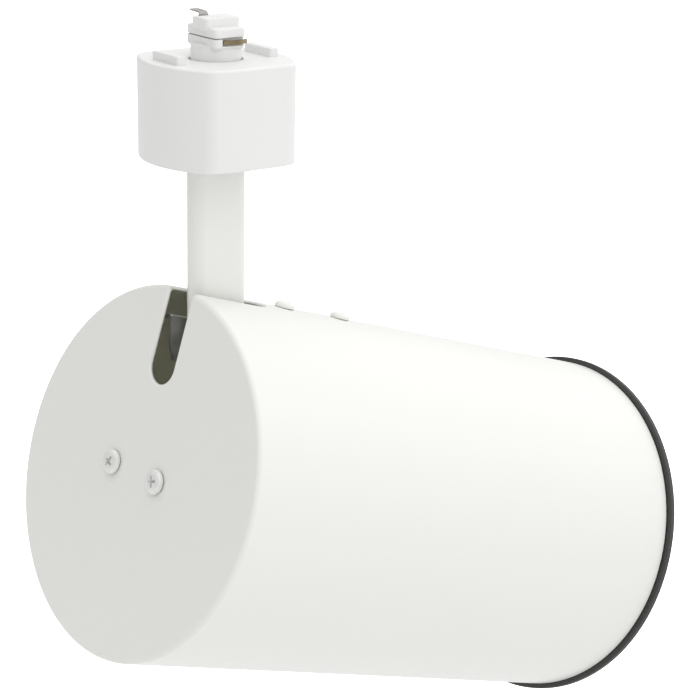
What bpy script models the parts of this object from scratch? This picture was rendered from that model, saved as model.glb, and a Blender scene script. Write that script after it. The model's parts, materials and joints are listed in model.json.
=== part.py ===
"""Track lighting fixture: a flat-back cylinder head for a reflector lamp, on a twist-lock track adapter.

Frame: the origin is on the stem's axis, in the plane of the adapter housing's top face. +Z points up
into the track, and +X runs along the track. The stem turns about Z, the head tilts about a pivot bolt
in the stem's lower end, and the head stands panned and tilted a little at rest.
"""

import math

import bmesh
import bpy
from mathutils import Matrix

MM = 0.001

# Rest pose.
PAN_REST = math.radians(4.1)
TILT_REST = math.radians(17.8)

# Adapter housing: a box with bowed sides and rounded corners, open below.
BOX_CORE_X = 11.9 * MM
BOX_CORE_Y = 16.1 * MM
BOX_OFFSET = 5.8 * MM
BOX_BOW_X = 5.0 * MM
BOX_BOW_Y = 0.5 * MM
BOX_HEIGHT = 31.3 * MM
BOX_WALL = 1.8 * MM
BOX_TOP = 2.2 * MM
BOX_DRAFT = 0.16 * MM
PAD_X = 16.7 * MM
PAD_THICK = 3.3 * MM
PAD_WIDTH = 14.8 * MM
PAD_HEIGHT = 2.7 * MM

# Plug: the neck passes the track's slot and the lugs lock behind its lips.
NECK_RADIUS = 7.85 * MM
NECK_BORE = 3.9 * MM
LUG_X = 5.7 * MM
LUG_Y = 8.5 * MM
LUG_BASE_Z = 2.8 * MM
LUG_SPLIT_Z = 7.1 * MM
LUG_TOP_Z = 10.1 * MM
NOSE_X = 6.4 * MM
NOSE_Y = 4.35 * MM
NOSE_TOP_Z = 12.9 * MM
CHAMBER_TOP_Z = -11.0 * MM
CHAMBER_BASE_Z = -26.9 * MM
PLATE_TOP_Z = -27.2 * MM
PLATE_BASE_Z = -30.0 * MM
BASE_SCREW_Y = 13.6 * MM

# Stem: a flat oval tube with the pivot bolt across its lower end.
STEM_WIDTH = 20.5 * MM
STEM_THICK = 7.9 * MM
STEM_WALL = 1.2 * MM
STEM_TOP_Z = -30.6 * MM
PIVOT_Z = -94.2 * MM
BOLT_RADIUS = 2.4 * MM

# Head: S runs from the shell's flat back to its front, W from its axis towards the slot.
SHELL_RADIUS = 60.0 * MM
SHELL_LENGTH = 190.4 * MM
SHELL_WALL = 1.2 * MM
SHELL_EDGE = 1.6 * MM
PIVOT_S = 19.8 * MM
PIVOT_W = 42.0 * MM
SLOT_HALF = 6.1 * MM
SLOT_END_S = 27.0 * MM
SLOT_END_W = 35.0 * MM
HOLDER_SCREW_Y = 11.9 * MM
BRACKET_THICK = 1.5 * MM
BRACKET_INNER_Y = 5.3 * MM
BRACKET_SCREW_S = (43.0 * MM, 67.5 * MM)
BRACKET_TOP_W = 57.9 * MM
PLATE_START_S = 34.5 * MM
PLATE_END_S = 75.0 * MM
EYE_RADIUS = 8.0 * MM
EAR_BACK_S = 3.4 * MM
EAR_FRONT_S = 13.0 * MM
EAR_TOP_W = 50.4 * MM
EAR_LIP_Y = 9.0 * MM
GROUND_SCREW_S = 55.0 * MM

# Lampholder, on the shell's axis.
HOLDER_RADIUS = 19.0 * MM
HOLDER_MOUTH_S = 46.0 * MM
SCREW_SHELL_BORE = 13.4 * MM

# Baffle: ribbed inside, with a trim flange in front of the shell.
FLANGE_RADIUS = 61.8 * MM
FLANGE_BACK_S = 190.7 * MM
FLANGE_FRONT_S = 193.0 * MM
BAFFLE_RADIUS = 56.0 * MM
BAFFLE_BACK_S = 158.0 * MM
BAFFLE_MOUTH = 54.0 * MM
BAFFLE_THROAT = 49.0 * MM
BAFFLE_RIBS = 7
CLIP_WIDTH = 8.0 * MM

LEAD_RADIUS = 0.95 * MM
GAP = 0.3 * MM


# ---------------------------------------------------------------- scene and materials


def clear_scene():
    for obj in list(bpy.data.objects):
        bpy.data.objects.remove(obj)


def make_material(name, colour, roughness, metallic=0.0):
    material = bpy.data.materials.new(name)
    material.use_nodes = True
    shader = material.node_tree.nodes["Principled BSDF"]
    shader.inputs["Base Color"].default_value = (*colour, 1.0)
    shader.inputs["Roughness"].default_value = roughness
    shader.inputs["Metallic"].default_value = metallic
    return material


def make_frame(name, parent=None, location=(0, 0, 0), rotation=(0, 0, 0)):
    """An empty on a joint's axis, which the pieces of one moving body are parented to."""
    frame = bpy.data.objects.new(name, None)
    frame.parent = parent
    frame.location = location
    frame.rotation_euler = rotation
    bpy.context.collection.objects.link(frame)
    return frame


def add_object(name, mesh, parent, material, location=(0, 0, 0)):
    obj = bpy.data.objects.new(name, mesh)
    obj.parent = parent
    obj.location = location
    if material:
        mesh.materials.append(material)
    bpy.context.collection.objects.link(obj)
    return obj


# ---------------------------------------------------------------- outlines


def arc_points(centre, radius, start, end, count):
    step = (end - start) / (count - 1)
    angles = [start + step * i for i in range(count)]
    return [(centre[0] + radius * math.cos(a), centre[1] + radius * math.sin(a)) for a in angles]


def circle_outline(radius, count, centre=(0, 0)):
    return arc_points(centre, radius, 0, math.tau * (count - 1) / count, count)


def rounded_rectangle(half_x, half_y, radius, count=5):
    points = []
    for quarter, (sign_x, sign_y) in enumerate(((1, 1), (-1, 1), (-1, -1), (1, -1))):
        centre = (sign_x * (half_x - radius), sign_y * (half_y - radius))
        start = quarter * math.pi / 2
        points += arc_points(centre, radius, start, start + math.pi / 2, count)
    return points


def racetrack(half_length, radius, count=9):
    """A flat oval, long along the first axis."""
    centre = half_length - radius
    right = arc_points((centre, 0), radius, -math.pi / 2, math.pi / 2, count)
    left = arc_points((-centre, 0), radius, math.pi / 2, 3 * math.pi / 2, count)
    return right + left


def bowed_side(half_along, distance, bow, offset, turn, count=9):
    """One side of the adapter box: an arc of this bow, moved out by the offset and turned into place."""
    radius = (half_along ** 2 + bow ** 2) / (2 * bow)
    reach = math.asin(half_along / radius)
    centre = distance + bow - radius
    arc = arc_points((centre, 0), radius + offset, -reach, reach, count)
    cos, sin = math.cos(turn), math.sin(turn)
    return [(x * cos - y * sin, x * sin + y * cos) for x, y in arc]


def box_outline(offset):
    """The adapter box's plan, this far outside the rectangle of its corner centres."""
    sides = (
        (BOX_CORE_Y, BOX_CORE_X, BOX_BOW_X),
        (BOX_CORE_X, BOX_CORE_Y, BOX_BOW_Y),
        (BOX_CORE_Y, BOX_CORE_X, BOX_BOW_X),
        (BOX_CORE_X, BOX_CORE_Y, BOX_BOW_Y),
    )
    corners = ((1, 1), (-1, 1), (-1, -1), (1, -1))
    points = []
    for index, (side, corner) in enumerate(zip(sides, corners)):
        following = sides[(index + 1) % 4]
        points += bowed_side(*side, offset, index * math.pi / 2)
        start = index * math.pi / 2 + side_angle(side)
        end = (index + 1) * math.pi / 2 - side_angle(following)
        centre = (corner[0] * BOX_CORE_X, corner[1] * BOX_CORE_Y)
        points += arc_points(centre, offset, start, end, 6)[1:-1]
    return points


def side_angle(side):
    half_along, _, bow = side
    return math.asin(2 * half_along * bow / (half_along ** 2 + bow ** 2))


def offset_strip(path, thickness):
    """The closed outline of a bent strip: a path of points, and the same path moved to its left."""
    moved = []
    for index, point in enumerate(path):
        before = path[max(index - 1, 0)]
        after = path[min(index + 1, len(path) - 1)]
        dx, dy = after[0] - before[0], after[1] - before[1]
        length = math.hypot(dx, dy)
        moved.append((point[0] - dy / length * thickness, point[1] + dx / length * thickness))
    return path + moved[::-1]


# ---------------------------------------------------------------- solids


def skin_loops(name, loops, closed=False):
    """A solid whose skin joins loops of equally many points, in order, and closes or caps the two ends."""
    bm = bmesh.new()
    rings = [[bm.verts.new(point) for point in loop] for loop in loops]
    pairs = list(zip(rings, rings[1:]))
    if closed:
        pairs.append((rings[-1], rings[0]))
    for first, second in pairs:
        for i in range(len(first)):
            j = (i + 1) % len(first)
            bm.faces.new((first[i], first[j], second[j], second[i]))
    if not closed:
        bm.faces.new(rings[0])
        bm.faces.new(rings[-1])
    bmesh.ops.recalc_face_normals(bm, faces=bm.faces)
    mesh = bpy.data.meshes.new(name)
    bm.to_mesh(mesh)
    bm.free()
    return mesh


def shade_round(mesh, angle=math.radians(30)):
    mesh.shade_smooth()
    mesh.set_sharp_from_angle(angle=angle)
    return mesh


AXES = {
    "Z": Matrix.Identity(4),
    "X": Matrix.Rotation(math.pi / 2, 4, "Y"),
    "Y": Matrix.Rotation(-math.pi / 2, 4, "X"),
}


def turned(name, profile, steps, axis="Z", closed=False):
    """A turned solid. Each profile point is its place along the axis and its radius."""
    loops = [[(x, y, along) for x, y in circle_outline(radius, steps)] for along, radius in profile]
    mesh = skin_loops(name, loops, closed)
    mesh.transform(AXES[axis])
    return shade_round(mesh)


def pillar(name, outline, low, high, axis="Z"):
    """A solid with the same outline from low to high along an axis."""
    mesh = skin_loops(name, [[(x, y, z) for x, y in outline] for z in (low, high)])
    mesh.transform(AXES[axis])
    return shade_round(mesh)


def sheet_along_y(name, outline, low, high):
    """A plate cut to an outline in the XZ plane, from low to high along Y."""
    mesh = skin_loops(name, [[(x, y, z) for x, z in outline] for y in (low, high)])
    return shade_round(mesh)


def combine(target, mesh, operation):
    """Cuts this mesh from the target, or joins it on, with a Boolean whose other object stays hidden."""
    other = add_object(f"{target.name}_{operation.lower()}_{len(target.modifiers)}", mesh, target, None)
    other.hide_render = True
    other.hide_set(True)
    other.display_type = "WIRE"
    modifier = target.modifiers.new(operation.title(), "BOOLEAN")
    modifier.operation = operation
    modifier.object = other
    return other


def cut(target, mesh):
    return combine(target, mesh, "DIFFERENCE")


def join(target, mesh):
    return combine(target, mesh, "UNION")


def lead(name, points, parent, material):
    """An insulated wire along a route, as a round tube with closed ends."""
    curve = bpy.data.curves.new(name, "CURVE")
    curve.dimensions = "3D"
    curve.bevel_depth = LEAD_RADIUS
    curve.bevel_resolution = 2
    curve.use_fill_caps = True
    curve.materials.append(material)
    route = smooth_route(points)
    spline = curve.splines.new("POLY")
    spline.points.add(len(route) - 1)
    for target, point in zip(spline.points, route):
        target.co = (*point, 1.0)
    obj = bpy.data.objects.new(name, curve)
    obj.parent = parent
    bpy.context.collection.objects.link(obj)
    return obj


def smooth_route(points, pieces=4):
    """Points along a smooth curve through the given ones (Catmull-Rom)."""
    padded = [points[0]] + list(points) + [points[-1]]
    route = []
    for p0, p1, p2, p3 in zip(padded, padded[1:], padded[2:], padded[3:]):
        for step in range(pieces):
            t = step / pieces
            route.append(tuple(catmull(a, b, c, d, t) for a, b, c, d in zip(p0, p1, p2, p3)))
    return route + [tuple(points[-1])]


def catmull(a, b, c, d, t):
    return 0.5 * (
        2 * b + (c - a) * t + (2 * a - 5 * b + 4 * c - d) * t ** 2 + (3 * b - a - 3 * c + d) * t ** 3
    )


# ---------------------------------------------------------------- adapter


def at_height(outline, z):
    return [(x, y, z) for x, y in outline]


def add_housing(parent, material):
    inner = BOX_OFFSET - BOX_WALL
    edge = 0.9 * MM
    outer = [
        (-BOX_HEIGHT, BOX_OFFSET - BOX_DRAFT - edge / 2),
        (-BOX_HEIGHT + edge / 2, BOX_OFFSET - BOX_DRAFT),
        (-edge, BOX_OFFSET),
        (-edge * 0.3, BOX_OFFSET - edge * 0.3),
        (0, BOX_OFFSET - edge),
    ]
    loops = [at_height(box_outline(inner), -BOX_TOP)]
    loops.append(at_height(box_outline(inner), -BOX_HEIGHT))
    loops += [at_height(box_outline(offset), z) for z, offset in outer]
    mesh = shade_round(skin_loops("housing", loops))
    housing = add_object("housing", mesh, parent, material)
    hole = circle_outline(NECK_RADIUS + 0.6 * MM, 40)
    cut(housing, pillar("housing_hole", hole, -BOX_TOP - 2 * MM, 2 * MM))
    for sign in (-1, 1):
        outline = rounded_rectangle(PAD_THICK / 2, PAD_WIDTH / 2, 0.5 * MM, 3)
        pad = [(x + sign * PAD_X, y) for x, y in outline]
        join(housing, pillar("locking_pad", pad, -1 * MM, PAD_HEIGHT))
    return housing


def add_plug_lower(parent, material):
    """Neck, lower half of the lugs, and the chamber that holds the swivel."""
    profile = (
        (CHAMBER_TOP_Z - 1.5 * MM, NECK_BORE),
        (CHAMBER_TOP_Z - 1.5 * MM, NECK_RADIUS),
        (LUG_BASE_Z + 2 * MM, NECK_RADIUS),
        (LUG_BASE_Z + 2 * MM, NECK_BORE),
    )
    mesh = turned("plug_lower", profile, 40, closed=True)
    plug = add_object("plug_lower", mesh, parent, material)
    join(plug, lug_mesh())
    chamber_x, chamber_y, wall = 15.0 * MM, 17.0 * MM, 2.0 * MM
    outer = rounded_rectangle(chamber_x, chamber_y, 4 * MM, 4)
    inner = rounded_rectangle(chamber_x - wall, chamber_y - wall, 2 * MM, 4)
    loops = [
        at_height(inner, CHAMBER_TOP_Z - wall),
        at_height(inner, CHAMBER_BASE_Z),
        at_height(outer, CHAMBER_BASE_Z),
        at_height(outer, CHAMBER_TOP_Z),
    ]
    join(plug, skin_loops("chamber", loops))
    for sign in (-1, 1):
        boss = circle_outline(2.7 * MM, 16, (0, sign * BASE_SCREW_Y))
        join(plug, pillar("screw_boss", boss, CHAMBER_BASE_Z, CHAMBER_TOP_Z - wall / 2))
        hole = circle_outline(1.5 * MM, 12, (0, sign * BASE_SCREW_Y))
        cut(plug, pillar("screw_hole", hole, CHAMBER_BASE_Z - MM, CHAMBER_BASE_Z + 9 * MM))
    bore = circle_outline(NECK_BORE, 24)
    cut(plug, pillar("lead_bore", bore, CHAMBER_TOP_Z - 3 * MM, LUG_SPLIT_Z + MM))
    for sign in (-1, 1):
        low, high = sorted((sign * 6.6 * MM, sign * 9 * MM))
        pocket = [(-3.0 * MM, low), (7.0 * MM, low), (7.0 * MM, high), (-3.0 * MM, high)]
        cut(plug, pillar("contact_pocket", pocket, LUG_SPLIT_Z - 2.4 * MM, LUG_SPLIT_Z + MM))
    return plug


def lug_mesh():
    """Lower half of the lugs: its underside slopes up from the neck to the outer edge."""
    top = LUG_SPLIT_Z - GAP / 2
    levels = (
        (LUG_BASE_Z, 1.9 * MM),
        (LUG_BASE_Z + 1.5 * MM, 0),
        (top, 0),
    )
    loops = [
        at_height(rounded_rectangle(LUG_X - inset * 0.5, LUG_Y - inset, 1.6 * MM, 4), z)
        for z, inset in levels
    ]
    return skin_loops("lug", loops)


def add_plug_upper(parent, material):
    """Upper half of the lugs, with the nose that carries the top contact."""
    edge = 0.6 * MM
    lug = [
        (LUG_SPLIT_Z + GAP / 2, 0),
        (LUG_TOP_Z - edge, 0),
        (LUG_TOP_Z, edge),
    ]
    loops = [at_height(rounded_rectangle(LUG_X - d, LUG_Y - d, 1.6 * MM, 4), z) for z, d in lug]
    mesh = shade_round(skin_loops("plug_upper", loops))
    upper = add_object("plug_upper", mesh, parent, material)
    nose = [
        (LUG_TOP_Z - MM, 0),
        (NOSE_TOP_Z - 0.5 * MM, 0),
        (NOSE_TOP_Z, 0.5 * MM),
    ]
    loops = [at_height(rounded_rectangle(NOSE_X - d, NOSE_Y - d, 1.5 * MM, 4), z) for z, d in nose]
    join(upper, skin_loops("nose", loops))
    slot = rounded_rectangle(1.9 * MM, 0.7 * MM, 0.2 * MM, 2)
    slot = [(x - 2.6 * MM, y + 3.0 * MM) for x, y in slot]
    cut(upper, pillar("blade_slot", slot, NOSE_TOP_Z - 3 * MM, NOSE_TOP_Z + MM))
    return upper


def add_contacts(parent, brass, steel):
    """The top blade and, at the parting line, a bowed leaf on each long side."""
    rise = NOSE_TOP_Z + 0.7 * MM
    path = [
        (3.25 * MM, NOSE_TOP_Z - 2.6 * MM),
        (3.25 * MM, rise - 0.7 * MM),
        (3.5 * MM, rise - 0.2 * MM),
        (4.1 * MM, rise),
        (8.8 * MM, rise + 0.3 * MM),
    ]
    outline = [(y, z) for y, z in offset_strip(path, 0.5 * MM)]
    loops = [[(x, y, z) for y, z in outline] for x in (-4.2 * MM, -1.0 * MM)]
    add_object("contact_line", shade_round(skin_loops("contact_line", loops)), parent, steel)
    for name, sign in (("contact_neutral", -1), ("contact_ground", 1)):
        outline = leaf_outline(sign)
        mesh = pillar(name, outline, LUG_SPLIT_Z - 1.9 * MM, LUG_SPLIT_Z - 0.6 * MM)
        add_object(name, mesh, parent, brass)


def leaf_outline(sign):
    """A leaf that bows out of its pocket: an outer arc and a flatter inner one."""
    start, end, back, steps = -2.2 * MM, 6.2 * MM, 7.4 * MM, 8
    outer = []
    inner = []
    for step in range(steps + 1):
        t = step / steps
        x = start + (end - start) * t
        swell = math.sin(math.pi * t)
        outer.append((x, sign * (back + 0.6 * MM + 1.9 * MM * swell)))
        inner.append((x, sign * (back + 1.3 * MM * swell)))
    return outer + inner[::-1]


def spring_wire(name, radius, wire, low, high, turns, steps=14, sides=6):
    """A compression spring: a closed tube along a helix."""
    loops = []
    count = int(turns * steps)
    for i in range(count + 1):
        angle = math.tau * i / steps
        z = low + (high - low) * i / count
        loops.append(
            [
                (
                    (radius + wire * math.cos(a)) * math.cos(angle),
                    (radius + wire * math.cos(a)) * math.sin(angle),
                    z + wire * math.sin(a),
                )
                for a in (math.tau * side / sides for side in range(sides))
            ]
        )
    return shade_round(skin_loops(name, loops), math.radians(70))


def add_adapter_inside(parent, plastic, steel):
    low = CHAMBER_TOP_Z + 0.5 * MM + GAP
    high = -BOX_TOP - 0.5 * MM - GAP
    mesh = spring_wire("return_spring", NECK_RADIUS + 2.2 * MM, 0.5 * MM, low, high, 3.5)
    add_object("return_spring", mesh, parent, steel)
    outline = box_outline(BOX_OFFSET - BOX_WALL - 0.5 * MM)
    mesh = pillar("base_plate", outline, PLATE_BASE_Z, PLATE_TOP_Z)
    plate = add_object("base_plate", mesh, parent, plastic)
    hole = circle_outline(5.2 * MM, 24)
    cut(plate, pillar("nipple_hole", hole, PLATE_BASE_Z - MM, PLATE_TOP_Z + MM))
    for index, sign in enumerate((-1, 1)):
        centre = (0, sign * BASE_SCREW_Y)
        hole = circle_outline(1.6 * MM, 12, centre)
        cut(plate, pillar("screw_hole", hole, PLATE_BASE_Z - MM, PLATE_TOP_Z + MM))
        profile = (
            (PLATE_BASE_Z - GAP - 1.3 * MM, 2.0 * MM),
            (PLATE_BASE_Z - GAP - 0.9 * MM, 2.6 * MM),
            (PLATE_BASE_Z - GAP, 2.6 * MM),
            (PLATE_BASE_Z - GAP, 1.2 * MM),
            (CHAMBER_BASE_Z + 7 * MM, 1.2 * MM),
        )
        mesh = turned("base_screw", profile, 16)
        add_object(f"base_screw_{index + 1}", mesh, parent, steel, (*centre, 0))


# ---------------------------------------------------------------- stem


def add_stem(parent, white, steel):
    bottom = PIVOT_Z - STEM_WIDTH / 2
    outer = racetrack(STEM_WIDTH / 2, STEM_THICK / 2)
    inner = racetrack(STEM_WIDTH / 2 - STEM_WALL, STEM_THICK / 2 - STEM_WALL)
    loops = [at_height(outer, bottom), at_height(outer, STEM_TOP_Z)]
    loops += [at_height(inner, STEM_TOP_Z), at_height(inner, bottom)]
    mesh = shade_round(skin_loops("stem_tube", loops, closed=True))
    tube = add_object("stem_tube", mesh, parent, white)
    round_stem_end(tube, bottom)
    bore = [(x, z + PIVOT_Z) for x, z in circle_outline(BOLT_RADIUS + 0.1 * MM, 20)]
    cut(tube, sheet_along_y("bolt_bore", bore, -STEM_THICK, STEM_THICK))
    add_swivel(parent, steel)
    return tube


def round_stem_end(tube, bottom):
    """Cuts the tube's lower end to a half circle about the pivot."""
    radius = STEM_WIDTH / 2
    arc = arc_points((0, PIVOT_Z), radius, math.pi * 1.02, math.pi * 1.98, 17)
    reach = radius + 3 * MM
    low = bottom - 3 * MM
    high = arc[0][1]
    outline = [(-reach, high)] + arc + [(reach, high), (reach, low), (-reach, low)]
    cut(tube, sheet_along_y("end_round", outline, -STEM_THICK, STEM_THICK))


def add_swivel(parent, steel):
    """The hollow nipple that the stem hangs from, with its plug in the stem, washer and nut."""
    plug = racetrack(STEM_WIDTH / 2 - STEM_WALL - 0.2 * MM, STEM_THICK / 2 - STEM_WALL - 0.2 * MM)
    nipple_low = STEM_TOP_Z - 6 * MM
    collar = add_object(
        "swivel_nipple", pillar("swivel_nipple", plug, nipple_low, STEM_TOP_Z + 0.4 * MM), parent, steel
    )
    join(collar, pillar("nipple", circle_outline(5.0 * MM, 24), STEM_TOP_Z + 0.2 * MM, -19 * MM))
    bore = racetrack(3.4 * MM, 2.3 * MM, 7)
    cut(collar, pillar("nipple_bore", bore, nipple_low - MM, -18 * MM))
    washer_low = PLATE_TOP_Z + GAP
    washer_high = washer_low + 0.8 * MM
    ring = ((washer_low, 5.1 * MM), (washer_low, 8 * MM), (washer_high, 8 * MM), (washer_high, 5.1 * MM))
    add_object("swivel_washer", turned("swivel_washer", ring, 24, closed=True), parent, steel)
    nut_low = washer_high + 0.1 * MM
    mesh = pillar("swivel_nut", circle_outline(8.1 * MM, 6), nut_low, nut_low + 3.6 * MM)
    nut = add_object("swivel_nut", mesh, parent, steel)
    cut(nut, pillar("nut_bore", circle_outline(5.1 * MM, 24), nut_low - MM, nut_low + 5 * MM))


# ---------------------------------------------------------------- head


def head_point(s, y, w):
    """A place given from the shell's back centre, in the head frame, whose origin is the pivot."""
    return (s - PIVOT_S, y, w - PIVOT_W)


SHELL_CENTRE = head_point(0, 0, 0)


def add_shell(parent, material):
    inner = SHELL_RADIUS - SHELL_WALL
    edge = SHELL_EDGE
    profile = [
        (SHELL_WALL, inner - 1.2 * MM),
        (SHELL_WALL + 1.2 * MM, inner),
        (SHELL_LENGTH, inner),
        (SHELL_LENGTH, SHELL_RADIUS),
        (edge, SHELL_RADIUS),
        (edge * 0.3, SHELL_RADIUS - edge * 0.3),
        (0, SHELL_RADIUS - edge),
    ]
    shell = add_object("shell", turned("shell", profile, 72, "X"), parent, material, SHELL_CENTRE)
    top = arc_points((SLOT_END_S, 0), SLOT_HALF, -math.pi / 2, math.pi / 2, 13)
    top += [(-5 * MM, SLOT_HALF), (-5 * MM, -SLOT_HALF)]
    cut(shell, pillar("slot_top", top, 50 * MM, 70 * MM))
    back = arc_points((0, SLOT_END_W), SLOT_HALF, math.pi, math.tau, 13)
    back += [(SLOT_HALF, 65 * MM), (-SLOT_HALF, 65 * MM)]
    loops = [[(s, y, w) for y, w in back] for s in (-5 * MM, 8 * MM)]
    cut(shell, skin_loops("slot_back", loops))
    for sign in (-1, 1):
        cut(shell, drill_along_x(sign * HOLDER_SCREW_Y, 0, 2.2 * MM, -2 * MM, 4 * MM))
    for s in BRACKET_SCREW_S:
        cut(shell, pillar("bracket_hole", circle_outline(1.9 * MM, 14, (s, 0)), 50 * MM, 65 * MM))
    return shell


def drill_along_x(y, w, radius, low, high, count=14):
    loops = [[(s, y + a, w + b) for a, b in circle_outline(radius, count)] for s in (low, high)]
    return skin_loops("drill", loops)


def cheek_outline():
    """A bracket cheek: an eye about the pivot, an ear behind it, and an arm to the plate in front."""
    low = BRACKET_TOP_W - BRACKET_THICK
    eye = arc_points((PIVOT_S, PIVOT_W), EYE_RADIUS, math.radians(225), math.radians(305), 7)
    ear = [
        (EAR_FRONT_S, EAR_TOP_W),
        (EAR_BACK_S, EAR_TOP_W),
        (EAR_BACK_S, EAR_TOP_W - BRACKET_THICK),
        (EAR_BACK_S + 2.3 * MM, EAR_TOP_W - 9.4 * MM),
        (EAR_BACK_S + 5.2 * MM, EAR_TOP_W - 14.2 * MM),
    ]
    arm = [(60 * MM, low + 0.5 * MM), (PLATE_START_S, BRACKET_TOP_W), (PLATE_START_S - 3 * MM, low)]
    return ear + eye + arm


def add_bracket(parent, material):
    """A U bracket: its plate lies under the shell's top, and its two cheeks carry the pivot bolt."""
    outer_y = BRACKET_INNER_Y + BRACKET_THICK
    low = BRACKET_TOP_W - BRACKET_THICK
    plate = box_corners(PLATE_START_S, PLATE_END_S, low, BRACKET_TOP_W)
    mesh = sheet_along_y("pivot_bracket", plate, -outer_y, outer_y)
    bracket = add_object("pivot_bracket", mesh, parent, material, SHELL_CENTRE)
    lip = box_corners(EAR_BACK_S, EAR_FRONT_S, EAR_TOP_W - BRACKET_THICK, EAR_TOP_W)
    for sign in (-1, 1):
        low_y, high_y = sorted((sign * BRACKET_INNER_Y, sign * outer_y))
        join(bracket, sheet_along_y("cheek", cheek_outline(), low_y, high_y))
        low_y, high_y = sorted((sign * (outer_y - 0.5 * MM), sign * EAR_LIP_Y))
        join(bracket, sheet_along_y("lip", lip, low_y, high_y))
    bore = circle_outline(BOLT_RADIUS + 0.1 * MM, 20, (PIVOT_S, PIVOT_W))
    cut(bracket, sheet_along_y("bolt_bore", bore, -12 * MM, 12 * MM))
    for s in (*BRACKET_SCREW_S, GROUND_SCREW_S):
        hole = circle_outline(1.9 * MM, 14, (s, 0))
        cut(bracket, pillar("screw_hole", hole, low - 2 * MM, BRACKET_TOP_W + 2 * MM))
    return bracket


def box_corners(low_x, high_x, low_z, high_z):
    return [(low_x, low_z), (high_x, low_z), (high_x, high_z), (low_x, high_z)]


def add_pivot_bolt(parent, steel):
    face = BRACKET_INNER_Y + BRACKET_THICK + 0.2 * MM
    profile = (
        (-face - 2.6 * MM, 2.6 * MM),
        (-face - 2.0 * MM, 4.4 * MM),
        (-face, 4.4 * MM),
        (-face, BOLT_RADIUS),
        (face + 4.6 * MM, BOLT_RADIUS),
    )
    add_object("pivot_bolt", turned("pivot_bolt", profile, 20, "Y"), parent, steel)
    bore = BOLT_RADIUS + 0.1 * MM
    mesh = pillar("pivot_nut", circle_outline(4.6 * MM, 6), face, face + 3.6 * MM, "Y")
    nut = add_object("pivot_nut", mesh, parent, steel)
    cut(nut, turned("nut_bore", ((face - MM, bore), (face + 6 * MM, bore)), 20, "Y"))
    low = STEM_THICK / 2 + 0.2 * MM
    high = BRACKET_INNER_Y - 0.2 * MM
    for name, sign in (("friction_washer_right", -1), ("friction_washer_left", 1)):
        ring = [(sign * low, bore), (sign * low, 7 * MM), (sign * high, 7 * MM), (sign * high, bore)]
        add_object(name, turned(name, ring, 24, "Y", closed=True), parent, steel)


def add_head_screws(parent, white, zinc, green):
    for name, sign in (("holder_screw_right", -1), ("holder_screw_left", 1)):
        profile = (
            (-2.3 * MM - GAP, 1.8 * MM),
            (-1.6 * MM - GAP, 3.4 * MM),
            (-0.8 * MM - GAP, 3.9 * MM),
            (-GAP, 3.9 * MM),
            (-GAP, 1.8 * MM),
            (11 * MM, 1.8 * MM),
        )
        mesh = turned(name, profile, 24, "X")
        add_object(name, mesh, parent, zinc, head_point(0, sign * HOLDER_SCREW_Y, 0))
    nut_high = BRACKET_TOP_W - BRACKET_THICK - 0.2 * MM
    for index, s in enumerate(BRACKET_SCREW_S):
        base = SHELL_RADIUS + 0.1 * MM
        profile = (
            (nut_high - 4.0 * MM, 1.6 * MM),
            (base, 1.6 * MM),
            (base, 3.3 * MM),
            (base + 1.2 * MM, 3.1 * MM),
            (base + 2.0 * MM, 2.0 * MM),
        )
        name = f"bracket_screw_{index + 1}"
        add_object(name, turned(name, profile, 20), parent, white, head_point(s, 0, 0))
        name = f"bracket_nut_{index + 1}"
        mesh = pillar(name, circle_outline(4.0 * MM, 6), nut_high - 2.6 * MM, nut_high)
        nut = add_object(name, mesh, parent, zinc, head_point(s, 0, 0))
        cut(nut, pillar("nut_bore", circle_outline(1.7 * MM, 14), nut_high - 5 * MM, nut_high + MM))
    top = BRACKET_TOP_W - BRACKET_THICK - 0.2 * MM
    profile = ((top - 2.0 * MM, 2.6 * MM), (top, 3.0 * MM), (top, 1.6 * MM), (BRACKET_TOP_W, 1.6 * MM))
    mesh = turned("ground_screw", profile, 16)
    add_object("ground_screw", mesh, parent, green, head_point(GROUND_SCREW_S, 0, 0))


def add_lampholder(parent, porcelain, nickel, brass, zinc):
    back = SHELL_WALL + GAP
    profile = [
        (back, HOLDER_RADIUS),
        (12.5 * MM, HOLDER_RADIUS),
        (14.0 * MM, 17.0 * MM),
        (HOLDER_MOUTH_S - MM, 17.0 * MM),
        (HOLDER_MOUTH_S, 16.2 * MM),
        (HOLDER_MOUTH_S, 14.6 * MM),
        (15.0 * MM, 14.6 * MM),
    ]
    mesh = turned("lampholder", profile, 40, "X")
    holder = add_object("lampholder", mesh, parent, porcelain, SHELL_CENTRE)
    for sign in (-1, 1):
        cut(holder, drill_along_x(sign * HOLDER_SCREW_Y, 0, 2.1 * MM, 0, 13 * MM))
        cut(holder, drill_along_x(0, sign * 15.6 * MM, 1.7 * MM, 0, 8 * MM))
    cup = [
        (16.6 * MM, 6.0 * MM),
        (16.6 * MM, SCREW_SHELL_BORE),
        (HOLDER_MOUTH_S - 1.5 * MM, SCREW_SHELL_BORE),
        (HOLDER_MOUTH_S - 1.5 * MM, 14.0 * MM),
        (15.9 * MM, 14.0 * MM),
        (15.9 * MM, 6.0 * MM),
    ]
    add_object("screw_shell", turned("screw_shell", cup, 32, "X", closed=True), parent, nickel, SHELL_CENTRE)
    contact = ((15.3 * MM, 3.2 * MM), (18.6 * MM, 3.2 * MM), (19.4 * MM, 2.2 * MM))
    add_object("centre_contact", turned("centre_contact", contact, 16, "X"), parent, brass, SHELL_CENTRE)
    for name, sign in (("terminal_screw_lower", -1), ("terminal_screw_upper", 1)):
        reach = HOLDER_RADIUS + GAP
        low, high = sorted((sign * reach, sign * (reach + 2.0 * MM)))
        mesh = pillar(name, circle_outline(3.0 * MM, 16), low, high)
        add_object(name, mesh, parent, zinc, head_point(8.5 * MM, 0, 0))


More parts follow.
